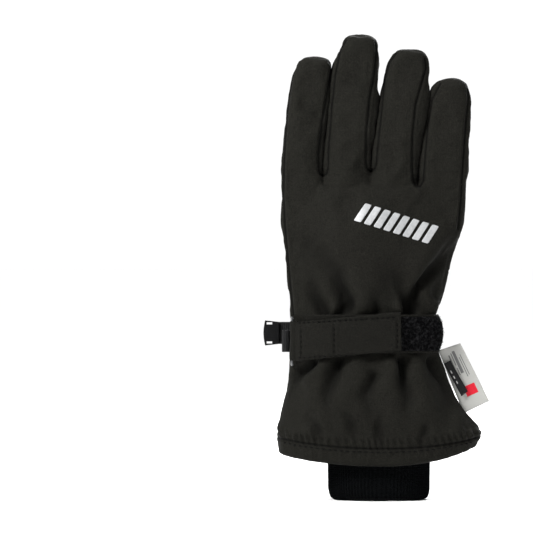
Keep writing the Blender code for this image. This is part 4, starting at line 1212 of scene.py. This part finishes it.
def tag(name, quad, through, bow, finish):
    """A strip of ribbon over four corners (seam top, seam foot, outer foot, outer top), bowed a little."""
    a, b, c, d = (Vector((x, 0, z)) for x, z in quad)
    wide, long = 14, 36
    build = bmesh.new()
    grid, uv = [], build.loops.layers.uv.new("ribbon")
    for j in range(long + 1):
        v = j / long
        row = []
        for i in range(wide + 1):
            u = i / wide
            spot = (a * (1 - v) + b * v) * (1 - u) + (d * (1 - v) + c * v) * u
            curl = through + bow * (u * u + 0.25 * math.sin(v * 5.0 + 0.6) * u)
            row.append(build.verts.new((spot.x * MM, curl * MM, spot.z * MM)))
        grid.append(row)
    for j in range(long):
        for i in range(wide):
            face = build.faces.new((grid[j][i], grid[j][i + 1], grid[j + 1][i + 1], grid[j + 1][i]))
            for loop, (du, dv) in zip(face.loops, ((0, 0), (1, 0), (1, 1), (0, 1))):
                loop[uv].uv = ((i + du) / wide, (j + dv) / long)
    mesh = bpy.data.meshes.new(name)
    build.to_mesh(mesh)
    build.free()
    if mesh.polygons[0].normal.y > 0:
        mesh.flip_normals()
    mesh.materials.append(finish)
    mesh.shade_smooth()
    strip = bpy.data.objects.new(name, mesh)
    bpy.context.collection.objects.link(strip)
    only(strip)
    wall = strip.modifiers.new("ribbon", "SOLIDIFY")
    wall.thickness = 0.00022
    wall.offset = 0
    bpy.ops.object.modifier_apply(modifier="ribbon")
    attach(strip, "labels")
    return strip


GREY, RED, PALE = (0.09, 0.09, 0.09), (0.42, 0.008, 0.02), (0.3, 0.3, 0.3)
white_print = printed("white_satin", (0.29, 0.29, 0.275), (
    (0.30, 0.36, 0.12, 0.34, GREY), (0.42, 0.46, 0.10, 0.30, GREY), (0.50, 0.62, 0.08, 0.44, GREY),
    (0.68, 0.71, 0.20, 0.52, GREY), (0.76, 0.79, 0.16, 0.50, GREY), (0.42, 0.46, 0.34, 0.46, GREY),
    (0.36, 0.80, 0.64, 0.80, RED)))
black_print = printed("black_woven_satin", (0.0018, 0.0018, 0.0022), (
    (0.30, 0.42, 0.25, 0.34, PALE), (0.30, 0.42, 0.42, 0.50, PALE), (0.30, 0.42, 0.58, 0.66, PALE)))
care = tag("white_tag", ((32.6, 80.6), (46.2, 46.4), (60.2, 53.2), (44.4, 84.6)), -9.4, -1.0, white_print)
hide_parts("care_label")
size_corners = ((35.4, 73.4), (45.0, 55.9), (48.4, 58.6), (38.9, 75.4))
size_tag = tag("black_tag", size_corners, -11.6, -0.5, black_print)
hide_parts("size_label")

# ---- Reflective bars
# Eight slanted bars of silver glass-bead film are heat-pressed on the back of the hand in one row.


def bead_film():
    film = bpy.data.materials.new("silver_film")
    film.use_nodes = True
    nodes, links = film.node_tree.nodes, film.node_tree.links
    shader, place = nodes["Principled BSDF"], nodes.new("ShaderNodeTexCoord")
    beads, weave = nodes.new("ShaderNodeTexVoronoi"), nodes.new("ShaderNodeTexNoise")
    beads.inputs["Scale"].default_value = 3200
    weave.inputs["Scale"].default_value = 600
    ramp, bump = nodes.new("ShaderNodeValToRGB"), nodes.new("ShaderNodeBump")
    for texture in (beads, weave):
        links.new(place.outputs["Object"], texture.inputs["Vector"])
    ramp.color_ramp.elements[0].color = (0.20, 0.203, 0.207, 1)
    ramp.color_ramp.elements[1].color = (0.32, 0.324, 0.33, 1)
    links.new(weave.outputs["Fac"], ramp.inputs["Fac"])
    links.new(ramp.outputs["Color"], shader.inputs["Base Color"])
    links.new(beads.outputs["Distance"], bump.inputs["Height"])
    bump.inputs["Strength"].default_value = 0.4
    bump.inputs["Distance"].default_value = 0.00006
    links.new(bump.outputs["Normal"], shader.inputs["Normal"])
    shader.inputs["Roughness"].default_value = 0.5
    shader.inputs["Metallic"].default_value = 0.1
    return film


silver = bead_film()
CORNERS = ((-13.7, 150.7), (-10.0, 149.6), (-3.9, 158.9), (-7.5, 160.0))
STEP = (5.17, -1.62)
for number in range(8):
    a, b, c, d = (Vector((x + STEP[0] * number, z + STEP[1] * number)) for x, z in CORNERS)
    build = bmesh.new()
    grid = []
    for j in range(25):
        row = []
        for i in range(9):
            u, v = i / 8, j / 24
            if v * 24 < 1.5 or v * 24 > 22.5:
                u = 0.5 + (u - 0.5) * (0.82 if j in (0, 24) else 0.95)
            spot = (a * (1 - u) + b * u) * (1 - v) + (d * (1 - u) + c * u) * v
            hit, normal = dropped(surface, spot.x, spot.y, -1, 0.00024)
            row.append(build.verts.new(hit))
        grid.append(row)
    for j in range(24):
        for i in range(8):
            build.faces.new((grid[j][i], grid[j][i + 1], grid[j + 1][i + 1], grid[j + 1][i]))
    mesh = bpy.data.meshes.new(f"silver_bar_{number + 1}")
    build.to_mesh(mesh)
    build.free()
    if mesh.polygons[0].normal.y > 0:
        mesh.flip_normals()
    mesh.materials.append(silver)
    mesh.shade_smooth()
    bar = bpy.data.objects.new(f"silver_bar_{number + 1}", mesh)
    bpy.context.collection.objects.link(bar)
    only(bar)
    relaxing = bar.modifiers.new("even", "SMOOTH")
    relaxing.iterations = 1
    wall = bar.modifiers.new("film", "SOLIDIFY")
    wall.thickness = 0.0004
    wall.offset = 0
    for modifier in ("even", "film"):
        bpy.ops.object.modifier_apply(modifier=modifier)
    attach(bar, "hand")
    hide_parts(f"reflective_bar_{number + 1}")

# ---- Studio
# A wide pale floor, a white wall that only the camera sees, soft light from above, both sides and behind, and a
# long lens level with the middle of the glove.
def stage_material():
    white = bpy.data.materials.new("pale_floor")
    white.use_nodes = True
    white.node_tree.nodes["Principled BSDF"].inputs["Base Color"].default_value = (0.9, 0.9, 0.9, 1)
    white.node_tree.nodes["Principled BSDF"].inputs["Roughness"].default_value = 0.9
    return white


bpy.ops.mesh.primitive_plane_add(size=400, location=(0, 0, 0))
floor = bpy.context.object
floor.name = "floor"
floor.data.materials.append(stage_material())


def soft_light(name, location, aim, width, power):
    data = bpy.data.lights.new(name, "AREA")
    data.shape = "DISK"
    data.size = width
    data.energy = power
    lamp = bpy.data.objects.new(name, data)
    bpy.context.collection.objects.link(lamp)
    lamp.location = location
    lamp.rotation_mode = "QUATERNION"
    lamp.rotation_quaternion = (Vector(location) - Vector(aim)).to_track_quat("Z", "Y")


GLOVE_MIDDLE = (0, -0.01, 0.13)
soft_light("key", (-0.46, -0.44, 0.56), GLOVE_MIDDLE, 0.30, 11.5)
soft_light("fill", (1.0, -1.0, 0.35), GLOVE_MIDDLE, 0.9, 4)
soft_light("back", (0.45, 1.1, 0.8), GLOVE_MIDDLE, 0.7, 34)
sunlight = bpy.data.lights.new("overhead", "SUN")
sunlight.energy = 3.2
sunlight.angle = math.radians(60)
overhead = bpy.data.objects.new("overhead", sunlight)
bpy.context.collection.objects.link(overhead)
world = bpy.data.worlds.new("studio")
bpy.context.scene.world = world
world.use_nodes = True
sky, wall = world.node_tree.nodes["Background"], world.node_tree.nodes.new("ShaderNodeBackground")
seen, either = world.node_tree.nodes.new("ShaderNodeLightPath"), world.node_tree.nodes.new("ShaderNodeMixShader")
sky.inputs["Color"].default_value = wall.inputs["Color"].default_value = (1, 1, 1, 1)
sky.inputs["Strength"].default_value = 0.16
wall.inputs["Strength"].default_value = 1.05
world.node_tree.links.new(seen.outputs["Is Camera Ray"], either.inputs["Fac"])
world.node_tree.links.new(sky.outputs["Background"], either.inputs[1])
world.node_tree.links.new(wall.outputs["Background"], either.inputs[2])
world.node_tree.links.new(either.outputs["Shader"], world.node_tree.nodes["World Output"].inputs["Surface"])
bpy.context.scene.view_settings.view_transform = "Standard"

FRAME_WIDTH = 0.2878
DISTANCE = 1.7
lens = bpy.data.cameras.new("camera")
lens.sensor_width = 36
lens.lens = 36 * DISTANCE / FRAME_WIDTH
camera = bpy.data.objects.new("camera", lens)
bpy.context.collection.objects.link(camera)
camera.location = (-0.0605, -0.015 - DISTANCE, 0.1261)
camera.rotation_euler = (math.radians(90), 0, 0)
bpy.context.scene.camera = camera
